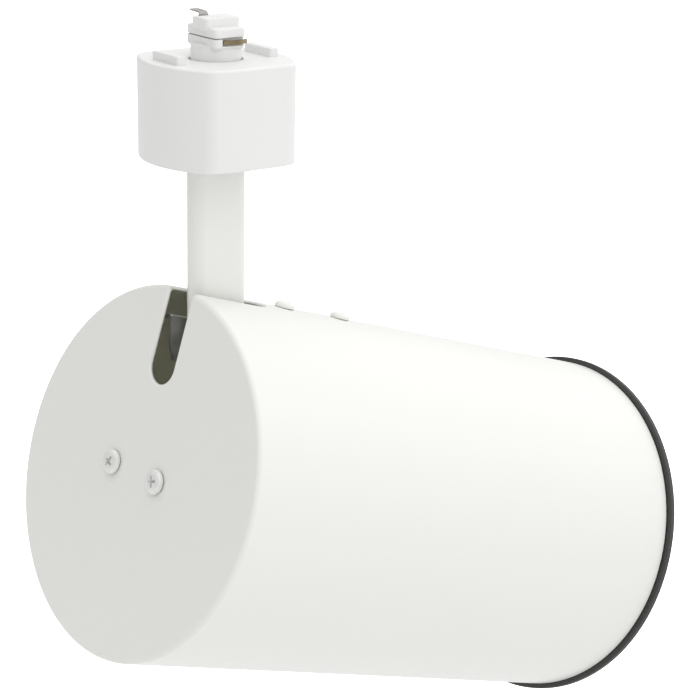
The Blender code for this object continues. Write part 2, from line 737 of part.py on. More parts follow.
def add_baffle(parent, black, spring_steel):
    rib = (FLANGE_FRONT_S - 3 * MM - BAFFLE_BACK_S) / BAFFLE_RIBS
    step = (BAFFLE_MOUTH - BAFFLE_THROAT) / BAFFLE_RIBS
    profile = [
        (BAFFLE_BACK_S, BAFFLE_RADIUS),
        (FLANGE_BACK_S, BAFFLE_RADIUS),
        (FLANGE_BACK_S, FLANGE_RADIUS - 0.4 * MM),
        (FLANGE_BACK_S + 0.4 * MM, FLANGE_RADIUS),
        (FLANGE_FRONT_S - 0.6 * MM, FLANGE_RADIUS),
        (FLANGE_FRONT_S, FLANGE_RADIUS - 0.6 * MM),
        (FLANGE_FRONT_S, BAFFLE_MOUTH + 0.6 * MM),
        (FLANGE_FRONT_S - 0.8 * MM, BAFFLE_MOUTH),
    ]
    for index in range(BAFFLE_RIBS):
        s = FLANGE_FRONT_S - 3 * MM - index * rib
        radius = BAFFLE_MOUTH - index * step
        profile += [(s, radius), (s - rib * 0.35, radius - step)]
    profile.append((BAFFLE_BACK_S, BAFFLE_THROAT))
    mesh = turned("baffle", profile, 48, "X", closed=True)
    add_object("baffle", mesh, parent, black, SHELL_CENTRE)
    for index in range(3):
        angle = math.radians(30 + 120 * index)
        add_clip(f"baffle_clip_{index + 1}", angle, parent, spring_steel)


def add_clip(name, angle, parent, material):
    """A bowed leaf on the baffle's outside, which presses on the shell."""
    start, end, steps = FLANGE_BACK_S - 2 * MM, BAFFLE_BACK_S + 6 * MM, 10
    base = BAFFLE_RADIUS + 0.35 * MM
    path = []
    for step in range(steps + 1):
        t = step / steps
        path.append((start + (end - start) * t, base + 1.4 * MM * math.sin(math.pi * t) ** 2))
    outline = offset_strip(path, -0.45 * MM)
    mesh = shade_round(
        skin_loops(name, [[(s, y, w) for s, w in outline] for y in (-CLIP_WIDTH / 2, CLIP_WIDTH / 2)])
    )
    mesh.transform(Matrix.Rotation(angle, 4, "X"))
    add_object(name, mesh, parent, material, SHELL_CENTRE)


# ---------------------------------------------------------------- leads


def add_leads(stem, head, colours):
    """Each lead runs in the stem's body to just below the pivot, and on in the head's body."""
    in_stem = {"line": (5.5 * MM, 0), "neutral": (-7.2 * MM, 0.8 * MM), "ground": (-4.7 * MM, -0.8 * MM)}
    for index, (name, (x, y)) in enumerate(in_stem.items()):
        angle = math.tau * index / 3
        near_x = 1.25 * MM * math.cos(angle)
        near_y = 1.25 * MM * math.sin(angle)
        route = [
            (near_x, near_y, 5.6 * MM),
            (near_x, near_y, -20 * MM),
            (near_x, near_y, -38 * MM),
            (near_x + 0.12 * (x - near_x), near_y, -44 * MM),
            (x, y, -58 * MM),
            (x, y, PIVOT_Z + 6 * MM),
            (x * 0.85, y, PIVOT_Z - 7.2 * MM),
        ]
        lead(f"lead_{name}_stem", route, stem, colours[name])
    routes = {
        "line": (
            head_point(30 * MM, 1.5 * MM, 28 * MM),
            head_point(36 * MM, 3 * MM, 25 * MM),
            head_point(34 * MM, 6 * MM, 21.5 * MM),
            head_point(22 * MM, 6 * MM, 20.4 * MM),
            head_point(13.2 * MM, 3.6 * MM, 20.8 * MM),
        ),
        "neutral": (
            head_point(33 * MM, -1.5 * MM, 29 * MM),
            head_point(40 * MM, -9 * MM, 25 * MM),
            head_point(34 * MM, -20 * MM, 12 * MM),
            head_point(22 * MM, -22 * MM, -6 * MM),
            head_point(12 * MM, -14 * MM, -18 * MM),
            head_point(9 * MM, -4.4 * MM, -20.6 * MM),
        ),
        "ground": (
            head_point(28 * MM, 0, 25.5 * MM),
            head_point(40 * MM, 0, 29 * MM),
            head_point(52 * MM, 0, 40 * MM),
            head_point(55 * MM, 0, 52.8 * MM),
        ),
    }
    for name, route in routes.items():
        lead(f"lead_{name}_head", route, head, colours[name])


# ---------------------------------------------------------------- assembly


def main():
    clear_scene()
    white_plastic = make_material("white_plastic", (0.88, 0.88, 0.85), 0.35)
    white_paint = make_material("white_paint", (0.86, 0.86, 0.83), 0.3)
    black_paint = make_material("black_paint", (0.03, 0.03, 0.03), 0.55)
    zinc = make_material("zinc", (0.72, 0.72, 0.7), 0.3, 1.0)
    steel = make_material("spring_steel", (0.35, 0.34, 0.33), 0.35, 1.0)
    brass = make_material("brass", (0.7, 0.5, 0.22), 0.3, 1.0)
    nickel = make_material("nickel", (0.75, 0.72, 0.66), 0.25, 1.0)
    porcelain = make_material("porcelain", (0.85, 0.83, 0.78), 0.2)
    green = make_material("green_screw", (0.1, 0.35, 0.14), 0.35, 0.6)
    lead_colours = {
        "line": make_material("black_insulation", (0.02, 0.02, 0.02), 0.5),
        "neutral": make_material("white_insulation", (0.8, 0.8, 0.78), 0.5),
        "ground": make_material("green_insulation", (0.05, 0.3, 0.1), 0.5),
    }
    adapter_frame = make_frame("adapter_frame")
    pan_frame = make_frame("pan_frame", adapter_frame, rotation=(0, 0, PAN_REST))
    tilt_frame = make_frame("tilt_frame", pan_frame, (0, 0, PIVOT_Z), (0, TILT_REST, 0))
    add_housing(adapter_frame, white_plastic)
    add_plug_lower(adapter_frame, white_plastic)
    add_plug_upper(adapter_frame, white_plastic)
    add_contacts(adapter_frame, brass, steel)
    add_adapter_inside(adapter_frame, white_plastic, steel)
    add_stem(pan_frame, white_paint, zinc)
    add_shell(tilt_frame, white_paint)
    add_bracket(tilt_frame, zinc)
    add_pivot_bolt(tilt_frame, zinc)
    add_head_screws(tilt_frame, white_paint, zinc, green)
    add_lampholder(tilt_frame, porcelain, nickel, brass, zinc)
    add_baffle(tilt_frame, black_paint, steel)
    add_leads(pan_frame, tilt_frame, lead_colours)


main()
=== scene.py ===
"""The finished look of a track lighting fixture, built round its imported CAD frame.

Pieces are made in the CAD's own frame, in metres. The pieces of the head are drawn with S along the can's
axis, from its flat back, and W from that axis towards its slot, and are then moved to where the head
stands at rest.
"""

import json
import math

import bmesh
import bpy
from mathutils import Matrix, Vector


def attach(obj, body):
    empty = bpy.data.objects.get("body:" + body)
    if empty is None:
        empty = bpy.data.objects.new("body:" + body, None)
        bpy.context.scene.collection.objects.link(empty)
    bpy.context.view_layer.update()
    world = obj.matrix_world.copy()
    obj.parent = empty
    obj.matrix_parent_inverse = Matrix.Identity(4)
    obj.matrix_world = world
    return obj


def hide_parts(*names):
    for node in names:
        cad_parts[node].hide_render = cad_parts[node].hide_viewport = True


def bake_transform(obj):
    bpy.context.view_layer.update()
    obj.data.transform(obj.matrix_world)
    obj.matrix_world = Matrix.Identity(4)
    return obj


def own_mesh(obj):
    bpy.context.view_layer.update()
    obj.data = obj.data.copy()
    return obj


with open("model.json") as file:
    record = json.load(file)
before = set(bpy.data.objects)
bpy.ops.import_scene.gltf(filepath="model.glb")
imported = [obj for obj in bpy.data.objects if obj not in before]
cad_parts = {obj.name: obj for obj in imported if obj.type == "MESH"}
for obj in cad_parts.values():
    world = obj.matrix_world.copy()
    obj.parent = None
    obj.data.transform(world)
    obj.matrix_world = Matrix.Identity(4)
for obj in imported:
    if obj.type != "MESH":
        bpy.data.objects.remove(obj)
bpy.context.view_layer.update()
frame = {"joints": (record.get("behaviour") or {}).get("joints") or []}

MM = 0.001

# Rest pose, from the frame's joints.
JOINTS = {joint["name"]: joint for joint in frame["joints"]}
PIVOT = Vector(JOINTS["head_tilt"]["pos_m"])
TILT_AXIS = Vector(JOINTS["head_tilt"]["axis"])
PAN_REST = math.atan2(-TILT_AXIS.x, TILT_AXIS.y)
TILT_REST = -math.radians(JOINTS["head_tilt"]["range_deg"][0])

# Adapter housing: a box with bowed sides and rounded corners, open below.
BOX_CORE_X = 11.9 * MM
BOX_CORE_Y = 16.1 * MM
BOX_OFFSET = 5.8 * MM
BOX_BOW_X = 5.0 * MM
BOX_BOW_Y = 0.5 * MM
BOX_HEIGHT = 31.3 * MM
BOX_WALL = 1.8 * MM
BOX_TOP = 2.2 * MM
BOX_DRAFT = 0.16 * MM
PAD_X = 16.7 * MM
PAD_THICK = 3.3 * MM
PAD_WIDTH = 14.8 * MM
PAD_HEIGHT = 2.7 * MM

# Plug: neck, lugs in two halves, and the chamber inside the housing.
NECK_RADIUS = 7.85 * MM
NECK_BORE = 3.9 * MM
LUG_X = 5.7 * MM
LUG_Y = 8.5 * MM
LUG_CORNER = 1.6 * MM
LUG_BASE_Z = 2.8 * MM
LUG_SPLIT_Z = 7.1 * MM
LUG_TOP_Z = 10.1 * MM
NOSE_X = 6.4 * MM
NOSE_Y = 4.35 * MM
NOSE_TOP_Z = 12.9 * MM
CHAMBER_X = 15.0 * MM
CHAMBER_Y = 17.0 * MM
CHAMBER_WALL = 2.0 * MM
CHAMBER_TOP_Z = -11.0 * MM
CHAMBER_BASE_Z = -26.9 * MM
PLATE_TOP_Z = -27.2 * MM
PLATE_BASE_Z = -30.0 * MM
BASE_SCREW_Y = 13.6 * MM
SPRING_RADIUS = NECK_RADIUS + 2.2 * MM
SPRING_WIRE = 0.5 * MM
SPRING_TURNS = 3.5

# Stem: a flat oval tube with the pivot bolt across its lower end.
STEM_WIDTH = 20.5 * MM
STEM_THICK = 7.9 * MM
STEM_WALL = 1.2 * MM
STEM_TOP_Z = -30.6 * MM
BOLT_RADIUS = 2.4 * MM

# Head.
SHELL_RADIUS = 60.0 * MM
SHELL_LENGTH = 190.4 * MM
SHELL_WALL = 1.2 * MM
SHELL_EDGE = 1.6 * MM
PIVOT_S = 19.8 * MM
PIVOT_W = 42.0 * MM
SLOT_HALF = 6.1 * MM
SLOT_END_S = 27.0 * MM
SLOT_END_W = 35.0 * MM
SLOT_LIP = 0.9 * MM
HOLDER_SCREW_Y = 11.9 * MM
DIMPLE_RADIUS = 6.4 * MM
DIMPLE_FLOOR = 4.4 * MM
DIMPLE_DEPTH = 0.1 * MM
DIMPLE_PAST = 0.004 * MM
BACK_HOLE_RADIUS = 2.2 * MM
BRACKET_THICK = 1.5 * MM
BRACKET_INNER_Y = 5.3 * MM
BRACKET_SCREW_S = (43.0 * MM, 67.5 * MM)
BRACKET_TOP_W = 57.9 * MM
PLATE_START_S = 34.5 * MM
PLATE_END_S = 75.0 * MM
EYE_RADIUS = 8.0 * MM
EAR_BACK_S = 3.4 * MM
EAR_FRONT_S = 13.0 * MM
EAR_TOP_W = 50.4 * MM
EAR_LIP_Y = 9.0 * MM
GROUND_SCREW_S = 55.0 * MM

# Lampholder, on the shell's axis.
HOLDER_RADIUS = 19.0 * MM
HOLDER_WAIST = 17.0 * MM
HOLDER_BORE = 14.6 * MM
HOLDER_MOUTH_S = 46.0 * MM
SCREW_SHELL_BORE = 13.4 * MM
SCREW_SHELL_BACK_S = 15.9 * MM
THREAD_PITCH = 3.63 * MM
THREAD_DEPTH = 0.28 * MM

# Baffle: ribbed inside, with a trim flange in front of the shell.
FLANGE_RADIUS = 61.8 * MM
FLANGE_BACK_S = 190.7 * MM
FLANGE_FRONT_S = 193.0 * MM
BAFFLE_RADIUS = 56.0 * MM
BAFFLE_BACK_S = 158.0 * MM
BAFFLE_MOUTH = 54.0 * MM
BAFFLE_THROAT = 49.0 * MM
BAFFLE_RIBS = 7
CLIP_WIDTH = 8.0 * MM

LEAD_RADIUS = 0.95 * MM
GAP = 0.3 * MM
SHARP_ANGLE = math.radians(50)

STEM_PLACE = Matrix.Rotation(PAN_REST, 4, "Z")
PIVOT_PLACE = Matrix.Translation(PIVOT) @ STEM_PLACE @ Matrix.Rotation(TILT_REST, 4, "Y")
HEAD_PLACE = PIVOT_PLACE @ Matrix.Translation((-PIVOT_S, 0, -PIVOT_W))


# ---- camera, light and floor

FOCAL_MM = 114.116
CAMERA_YAW = math.radians(54.17)
CAMERA_PITCH = math.radians(16.57)
CAMERA_ROLL = math.radians(1.043)
ORIGIN_SEEN = Vector((-41.18, 89.73, -681.42)) * MM

FLOOR_Z = -1.0
FLOOR_HALF = 14.0
FLOOR_GLOW = 0.03
LIGHT_MEAN = 0.656
LIGHT_SLOPE = (0.33, -0.18, 0.74)
BACKDROP_LIGHT = 1.1


def add_object(name, data):
    obj = bpy.data.objects.new(name, data)
    bpy.context.collection.objects.link(obj)
    return obj


def add_camera():
    """The camera from its aim, its roll and where the object's origin lies in its own axes."""
    aim = Matrix.Rotation(CAMERA_YAW - math.pi / 2, 4, "Z")
    aim = aim @ Matrix.Rotation(math.pi / 2 - CAMERA_PITCH, 4, "X")
    aim = aim @ Matrix.Rotation(CAMERA_ROLL, 4, "Z")
    data = bpy.data.cameras.new("camera")
    data.lens = FOCAL_MM
    data.sensor_width = 36
    data.clip_start = 0.05
    data.clip_end = 100
    camera = add_object("camera", data)
    camera.matrix_world = Matrix.Translation(aim @ -ORIGIN_SEEN) @ aim
    bpy.context.scene.camera = camera


def add_floor():
    mesh = bpy.data.meshes.new("floor")
    corners = [(-1, -1), (1, -1), (1, 1), (-1, 1)]
    mesh.from_pydata([(x * FLOOR_HALF, y * FLOOR_HALF, FLOOR_Z) for x, y in corners], [], [(0, 1, 2, 3)])
    material, shader = new_material("floor", (0.8, 0.8, 0.8), 0.9)
    tree = material.node_tree
    shader.inputs["Emission Color"].default_value = (1, 1, 1, 1)
    seen = add_node(tree, "ShaderNodeLightPath").outputs["Is Camera Ray"]
    glow = add_math(tree, "MULTIPLY_ADD", seen, BACKDROP_LIGHT, FLOOR_GLOW)
    link(glow, shader.inputs["Emission Strength"])
    mesh.materials.append(material)
    add_object("floor", mesh)


def add_light():
    """Soft studio light from all round, brighter above and on the lamp's mouth side, on a white backdrop."""
    world = bpy.data.worlds.new("studio")
    world.use_nodes = True
    tree = world.node_tree
    background = tree.nodes["Background"]
    background.inputs["Color"].default_value = (1, 1, 1, 1)
    direction = tree.nodes.new("ShaderNodeTexCoord")
    slope = add_node(tree, "ShaderNodeVectorMath", operation="DOT_PRODUCT")
    slope.inputs[1].default_value = LIGHT_SLOPE
    link(direction.outputs["Generated"], slope.inputs[0])
    level = add_math(tree, "ADD", slope.outputs["Value"], LIGHT_MEAN)
    seen = add_node(tree, "ShaderNodeLightPath").outputs["Is Camera Ray"]
    backdrop = add_math(tree, "MULTIPLY", seen, BACKDROP_LIGHT)
    link(add_math(tree, "MAXIMUM", level, backdrop), background.inputs["Strength"])
    bpy.context.scene.world = world
    bpy.context.scene.view_settings.view_transform = "Standard"


# ---- materials


def add_node(tree, kind, values=None, **settings):
    node = tree.nodes.new(kind)
    for name, value in settings.items():
        setattr(node, name, value)
    for socket, value in (values or {}).items():
        node.inputs[socket].default_value = value
    return node


def link(source, target):
    source.id_data.links.new(source, target)


def add_math(tree, operation, *terms):
    """The result of a sum on sockets and numbers."""
    node = add_node(tree, "ShaderNodeMath", operation=operation)
    for socket, term in zip(node.inputs, terms):
        if isinstance(term, float):
            socket.default_value = term
        else:
            link(term, socket)
    return node.outputs[0]


def new_material(name, colour, roughness, metallic=0.0):
    material = bpy.data.materials.new(name)
    material.use_nodes = True
    shader = material.node_tree.nodes["Principled BSDF"]
    shader.inputs["Base Color"].default_value = (*colour, 1)
    shader.inputs["Roughness"].default_value = roughness
    shader.inputs["Metallic"].default_value = metallic
    return material, shader


def add_noise(tree, scale, detail, stretch=(1, 1, 1)):
    """A noise pattern in the piece's own metres, drawn out along its axes where stretch says so."""
    coords = add_node(tree, "ShaderNodeTexCoord")
    mapping = add_node(tree, "ShaderNodeMapping", {"Scale": stretch})
    noise = add_node(tree, "ShaderNodeTexNoise", {"Scale": scale, "Detail": detail})
    link(coords.outputs["Object"], mapping.inputs["Vector"])
    link(mapping.outputs["Vector"], noise.inputs["Vector"])
    return noise.outputs["Fac"]


def add_range(tree, noise, span, result):
    """A noise, with this span of its values spread over the result's two ends."""
    limits = {"From Min": span[0], "From Max": span[1], "To Min": result[0], "To Max": result[1]}
    node = add_node(tree, "ShaderNodeMapRange", limits)
    link(add_noise(tree, *noise), node.inputs["Value"])
    return node.outputs["Result"]


def finished(name, colours, roughness, tint, gloss, bumps, metallic=0.0):
    """A material whose tint and gloss follow soft noise, with fine bumps laid over each other.

    A noise is its scale, its detail and sometimes its stretch. tint is a noise and the span of it that
    goes from one colour to the other. gloss is a noise, its span and the factors of the roughness at its
    two ends, or None. Each bump is a noise, a strength and a depth in metres.
    """
    material, shader = new_material(name, colours[0], roughness, metallic)
    tree = material.node_tree
    mix = add_node(tree, "ShaderNodeMix", {6: (*colours[0], 1), 7: (*colours[1], 1)}, data_type="RGBA")
    link(add_range(tree, *tint, (0, 1)), mix.inputs[0])
    link(mix.outputs[2], shader.inputs["Base Color"])
    if gloss:
        noise, span, factors = gloss
        levels = [roughness * factor for factor in factors]
        link(add_range(tree, noise, span, levels), shader.inputs["Roughness"])
    under = None
    for noise, strength, depth in bumps:
        bump = add_node(tree, "ShaderNodeBump", {"Strength": strength, "Distance": depth})
        link(add_noise(tree, *noise), bump.inputs["Height"])
        if under:
            link(under.outputs["Normal"], bump.inputs["Normal"])
        under = bump
    link(under.outputs["Normal"], shader.inputs["Normal"])
    return material, shader


def painted(name, colour, shade, roughness, peel=0.05):
    """Baked powder coat: fine orange peel, and faint cloudy patches of tint and gloss."""
    tint = ((14, 2), (0, 1))
    gloss = ((45, 2), (0, 1), (0.88, 1.12))
    bumps = (((620, 2), peel, 0.1 * MM), ((2600, 2), peel, 0.03 * MM))
    return finished(name, (colour, shade), roughness, tint, gloss, bumps)[0]


def moulded(name, colour, shade, roughness):
    """Moulded plastic: a very fine spark-eroded grain, with faint flow patches."""
    flow = (60, 2, (1, 1, 0.4))
    gloss = (flow, (0, 1), (0.85, 1.15))
    bumps = (((4200, 2), 0.06, 0.03 * MM),)
    return finished(name, (colour, shade), roughness, (flow, (0, 1)), gloss, bumps)[0]


def plated(name, colour, dull_colour, roughness, stretch=(1, 1, 1), metallic=1.0):
    """Plated or rolled metal: fine draw lines and cloudy tarnish."""
    clouds = (240, 4)
    gloss = (clouds, (0.3, 0.7), (0.8, 1.35))
    bumps = (((1500, 3, stretch), 0.12, 0.03 * MM),)
    tint = (clouds, (0.35, 0.75))
    return finished(name, (colour, dull_colour), roughness, tint, gloss, bumps, metallic)[0]


def glazed(name, colour, body_colour):
    """Glazed porcelain: glossy, slightly uneven, a touch darker where the glaze pools."""
    bumps = (((260, 2), 0.1, 0.15 * MM),)
    tint = ((120, 3), (0.3, 0.7))
    material, shader = finished(name, (colour, body_colour), 0.18, tint, None, bumps)
    shader.inputs["Coat Weight"].default_value = 0.5
    shader.inputs["Coat Roughness"].default_value = 0.08
    return material


def insulated(name, colour, dull_colour):
    """Wire insulation: matt, faintly ribbed along its length by the die."""
    dust = (500, 3)
    bumps = ((dust, 0.15, 0.05 * MM),)
    return finished(name, (colour, dull_colour), 0.5, (dust, (0.3, 0.7)), None, bumps)[0]


# ---- outlines


def arc_points(centre, radius, start, end, count):
    step = (end - start) / (count - 1)
    angles = [start + step * i for i in range(count)]
    return [(centre[0] + radius * math.cos(a), centre[1] + radius * math.sin(a)) for a in angles]


def circle_outline(radius, count, centre=(0, 0)):
    return arc_points(centre, radius, 0, math.tau * (count - 1) / count, count)


def rounded(corners, steps=5, closed=True):
    """An outline with rounded corners. Each corner is its place and its radius."""
    points = []
    for index, (x, y, radius) in enumerate(corners):
        at_end = not closed and index in (0, len(corners) - 1)
        if radius == 0 or at_end:
            points.append((x, y))
            continue
        here = Vector((x, y))
        before = (Vector(corners[index - 1][:2]) - here).normalized()
        after = (Vector(corners[(index + 1) % len(corners)][:2]) - here).normalized()
        half = before.angle(after) / 2
        centre = here + (before + after).normalized() * radius / math.sin(half)
        first = here + before * radius / math.tan(half) - centre
        last = here + after * radius / math.tan(half) - centre
        start = math.atan2(first.y, first.x)
        sweep = (math.atan2(last.y, last.x) - start + math.pi) % math.tau - math.pi
        points += arc_points(centre, radius, start, start + sweep, steps + 1)
    return points


def rounded_rectangle(half_x, half_y, radius, steps=6):
    corners = ((1, 1), (-1, 1), (-1, -1), (1, -1))
    return rounded([(x * half_x, y * half_y, radius) for x, y in corners], steps)


def racetrack(half_length, radius, count=25):
    """A flat oval, long along the first axis."""
    centre = half_length - radius
    right = arc_points((centre, 0), radius, -math.pi / 2, math.pi / 2, count)
    left = arc_points((-centre, 0), radius, math.pi / 2, 3 * math.pi / 2, count)
    return right + left


def cross_outline(reach, half):
    """A cross of two equal bars."""
    quarter = [(reach, -half), (reach, half), (half, half)]
    points = []
    for turn in range(4):
        cos, sin = round(math.cos(turn * math.pi / 2)), round(math.sin(turn * math.pi / 2))
        points += [(x * cos - y * sin, x * sin + y * cos) for x, y in quarter]
    return points


def bowed_side(half_along, distance, bow, offset, turn, count=33):
    """One side of the adapter box: an arc of this bow, moved out by the offset and turned into place."""
    radius = (half_along ** 2 + bow ** 2) / (2 * bow)
    reach = math.asin(half_along / radius)
    arc = arc_points((distance + bow - radius, 0), radius + offset, -reach, reach, count)
    cos, sin = math.cos(turn), math.sin(turn)
    return [(x * cos - y * sin, x * sin + y * cos) for x, y in arc]


def side_angle(half_along, _, bow):
    """How far a bowed side's arc turns from its middle to its end."""
    return math.asin(2 * half_along * bow / (half_along ** 2 + bow ** 2))


def box_outline(offset):
    """The adapter box's plan, this far outside the rectangle of its corner centres."""
    long_side = (BOX_CORE_Y, BOX_CORE_X, BOX_BOW_X)
    short_side = (BOX_CORE_X, BOX_CORE_Y, BOX_BOW_Y)
    sides = (long_side, short_side) * 2
    corners = ((1, 1), (-1, 1), (-1, -1), (1, -1))
    points = []
    for index, (side, corner) in enumerate(zip(sides, corners)):
        following = sides[(index + 1) % 4]
        points += bowed_side(*side, offset, index * math.pi / 2)
        start = index * math.pi / 2 + side_angle(*side)
        end = (index + 1) * math.pi / 2 - side_angle(*following)
        centre = (corner[0] * BOX_CORE_X, corner[1] * BOX_CORE_Y)
        points += arc_points(centre, offset, start, end, 14)[1:-1]
    return points


def at_height(outline, z):
    return [(x, y, z) for x, y in outline]


# ---- meshes

AXES = {
    "Z": Matrix.Identity(4),
    "X": Matrix.Rotation(math.pi / 2, 4, "Y"),
    "-X": Matrix.Rotation(-math.pi / 2, 4, "Y"),
    "Y": Matrix.Rotation(-math.pi / 2, 4, "X"),
    "-Y": Matrix.Rotation(math.pi / 2, 4, "X"),
    "-Z": Matrix.Rotation(math.pi, 4, "X"),
}


def skin_loops(loops, closed=False):
    """A mesh whose skin joins loops of equally many points, in order, and closes or caps the two ends."""
    bm = bmesh.new()
    rings = [[bm.verts.new(point) for point in loop] for loop in loops]
    pairs = list(zip(rings, rings[1:]))
    if closed:
        pairs.append((rings[-1], rings[0]))
    for first, second in pairs:
        for i in range(len(first)):
            j = (i + 1) % len(first)
            bm.faces.new((first[i], first[j], second[j], second[i]))
    if not closed:
        bm.faces.new(rings[0])
        bm.faces.new(rings[-1])
    bmesh.ops.recalc_face_normals(bm, faces=bm.faces)
    mesh = bpy.data.meshes.new("mesh")
    bm.to_mesh(mesh)
    bm.free()
    return mesh


def turned(profile, steps, axis="Z", closed=False):
    """A turned shape. Each profile point is its place along the axis and its radius."""
    loops = [[(x, y, along) for x, y in circle_outline(radius, steps)] for along, radius in profile]
    mesh = skin_loops(loops, closed)
    mesh.transform(AXES[axis])
    return mesh


def pillar(outline, low, high, axis="Z"):
    mesh = skin_loops([at_height(outline, z) for z in (low, high)])
    mesh.transform(AXES[axis])
    return mesh


def rod(radius, low, high, steps=32, axis="Z"):
    return pillar(circle_outline(radius, steps), low, high, axis)


def stacked(outline_at, levels):
    """A shape drawn level by level. Each level is its height and what its outline is made from."""
    return skin_loops([at_height(outline_at(value), z) for z, value in levels])


def plate_along_y(outline, low, high):
    """A plate cut to an outline in the XZ plane, from low to high along Y."""
    return skin_loops([[(x, y, z) for x, z in outline] for y in (low, high)])


def moved(mesh, x=0.0, y=0.0, z=0.0):
    mesh.transform(Matrix.Translation((x, y, z)))
    return mesh


def combined(mesh, others, operation="DIFFERENCE"):
    """The mesh with each of the others cut from it, joined to it or kept in common with it."""
    base = add_object("work", mesh)
    tools = [add_object("tool", other) for other in others]
    for tool in tools:
        modifier = base.modifiers.new("Boolean", "BOOLEAN")
        modifier.operation = operation
        modifier.object = tool
    graph = bpy.context.evaluated_depsgraph_get()
    result = bpy.data.meshes.new_from_object(base.evaluated_get(graph))
    for obj in (base, *tools):
        bpy.data.objects.remove(obj)
    return result


def softened(mesh, width, segments=3, angle=math.radians(35), chosen=None):
    """The mesh with its sharp edges rounded, or only the chosen ones of them."""
    bm = bmesh.new()
    bm.from_mesh(mesh)
    bmesh.ops.remove_doubles(bm, verts=bm.verts, dist=1e-6)
    if chosen is None:
        bmesh.ops.dissolve_limit(bm, angle_limit=math.radians(0.5), verts=bm.verts, edges=bm.edges)
    sharp = [edge for edge in bm.edges if edge.is_manifold and edge.calc_face_angle(0) > angle]
    if chosen:
        sharp = [edge for edge in sharp if chosen(edge)]
    shape = {"offset_type": "OFFSET", "profile": 0.5, "affect": "EDGES", "loop_slide": False}
    clamp = chosen is None
    bmesh.ops.bevel(bm, geom=sharp, offset=width, segments=segments, clamp_overlap=clamp, **shape)
    bm.to_mesh(mesh)
    bm.free()
    return mesh


def add_piece(name, mesh, material, body, nodes, place=None, weighted=True):
    """A finished piece that rides on a body and stands for the CAD nodes that it replaces.
    """
    if place:
        mesh.transform(place)
    mesh.name = name
    materials = material if isinstance(material, list) else [material]
    indices = [min(polygon.material_index, len(materials) - 1) for polygon in mesh.polygons]
    mesh.materials.clear()
    for one in materials:
        mesh.materials.append(one)
    mesh.polygons.foreach_set("material_index", indices)
    obj = add_object(name, mesh)
    if weighted:
        mesh.shade_smooth()
        mesh.set_sharp_from_angle(angle=SHARP_ANGLE)
        modifier = obj.modifiers.new("Weighted Normal", "WEIGHTED_NORMAL")
        modifier.keep_sharp = True
        modifier.weight = 60
        modifier.mode = "FACE_AREA_WITH_ANGLE"
    if body:
        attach(obj, body)
    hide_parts(*nodes)
    return obj


def add_head_piece(name, mesh, material, node, place=HEAD_PLACE):
    """A finished piece that rides on the head and stands for one CAD node."""
    add_piece(name, mesh, material, "head", [node], place)


# ---- fasteners


THREAD_ROOT = 0.86


def thread_profile(start, end, radius, pitch=0.8 * MM):
    """Ridges from start to end along a screw, as a saw-tooth profile."""
    count = max(2, int(abs(end - start) / pitch))
    points = []
    for i in range(count):
        points.append((start + (end - start) * (i + 0.25) / count, radius))
        points.append((start + (end - start) * (i + 0.75) / count, radius * THREAD_ROOT))
    return points


def pan_screw(radius, height, shank, length, steps=48, dome=0.55):
    """A round-headed screw. Its head's underside is at 0, the head is above it and the shank below."""
    shoulder = height * (1 - dome)
    crown = []
    for i in range(9):
        angle = i / 9 * math.pi / 2
        crown.append((shoulder + height * dome * math.sin(angle), radius * math.cos(angle) ** 0.72))
    profile = [(-length, shank * 0.6), (-length + shank * 0.4, shank * THREAD_ROOT)]
    profile += thread_profile(-length + shank * 0.5, -0.4 * MM, shank)
    profile += [(-0.1 * MM, shank), (0, shank), (0, radius - 0.15 * MM), (0.12 * MM, radius)]
    return combined(turned(profile + crown, steps), [driver_recess(radius * 0.56, radius * 0.12, height)])


def driver_recess(reach, half, top):
    """The cutter for a cross-shaped recess, which narrows as it goes down."""
    wide = at_height(cross_outline(reach, half), top + 0.2 * MM)
    deep = at_height(cross_outline(reach * 0.34, half * 0.7), top - reach * 0.95)
    return skin_loops([wide, deep])


def hex_nut(corner, height, bore):
    """A chamfered hexagon nut, from 0 to its height."""
    block = rod(corner, 0, height, 6)
    face = corner * 0.9
    drop = (corner - face) * 0.6
    lens = [(-MM, face - 2 * drop), (0, face), (drop, corner), (height - drop, corner), (height, face)]
    nut = combined(block, [turned(lens, 48)], "INTERSECT")
    hole = [(-MM, bore * 1.3), (0, bore * 1.1), (bore * 0.15, bore), (height - bore * 0.15, bore)]
    hole += [(height, bore * 1.1), (height + MM, bore * 1.3)]
    return combined(nut, [turned(hole, 32)])


# ---- adapter


def add_housing(material):
    inner = BOX_OFFSET - BOX_WALL
    low = -BOX_HEIGHT
    corners = [
        (-BOX_TOP, inner - 1.2 * MM, 0),
        (-BOX_TOP, inner, 0.8 * MM),
        (low, inner, 0.3 * MM),
        (low, BOX_OFFSET - BOX_DRAFT, 0.5 * MM),
        (0, BOX_OFFSET, 0.9 * MM),
        (0, BOX_OFFSET - 2.4 * MM, 0),
    ]
    mesh = stacked(box_outline, rounded(corners, 6, closed=False))
    mesh = combined(mesh, [housing_pad(sign) for sign in (-1, 1)], "UNION")
    hole = [
        (-BOX_TOP - 2 * MM, NECK_RADIUS + 0.6 * MM),
        (-0.35 * MM, NECK_RADIUS + 0.6 * MM),
        (-0.1 * MM, NECK_RADIUS + 0.7 * MM),
        (0, NECK_RADIUS + 0.95 * MM),
        (0.2 * MM, NECK_RADIUS + 1.2 * MM),
    ]
    mesh = combined(mesh, [turned(hole, 96)])
    add_piece("housing_cover", mesh, material, "adapter_housing", ["housing"])


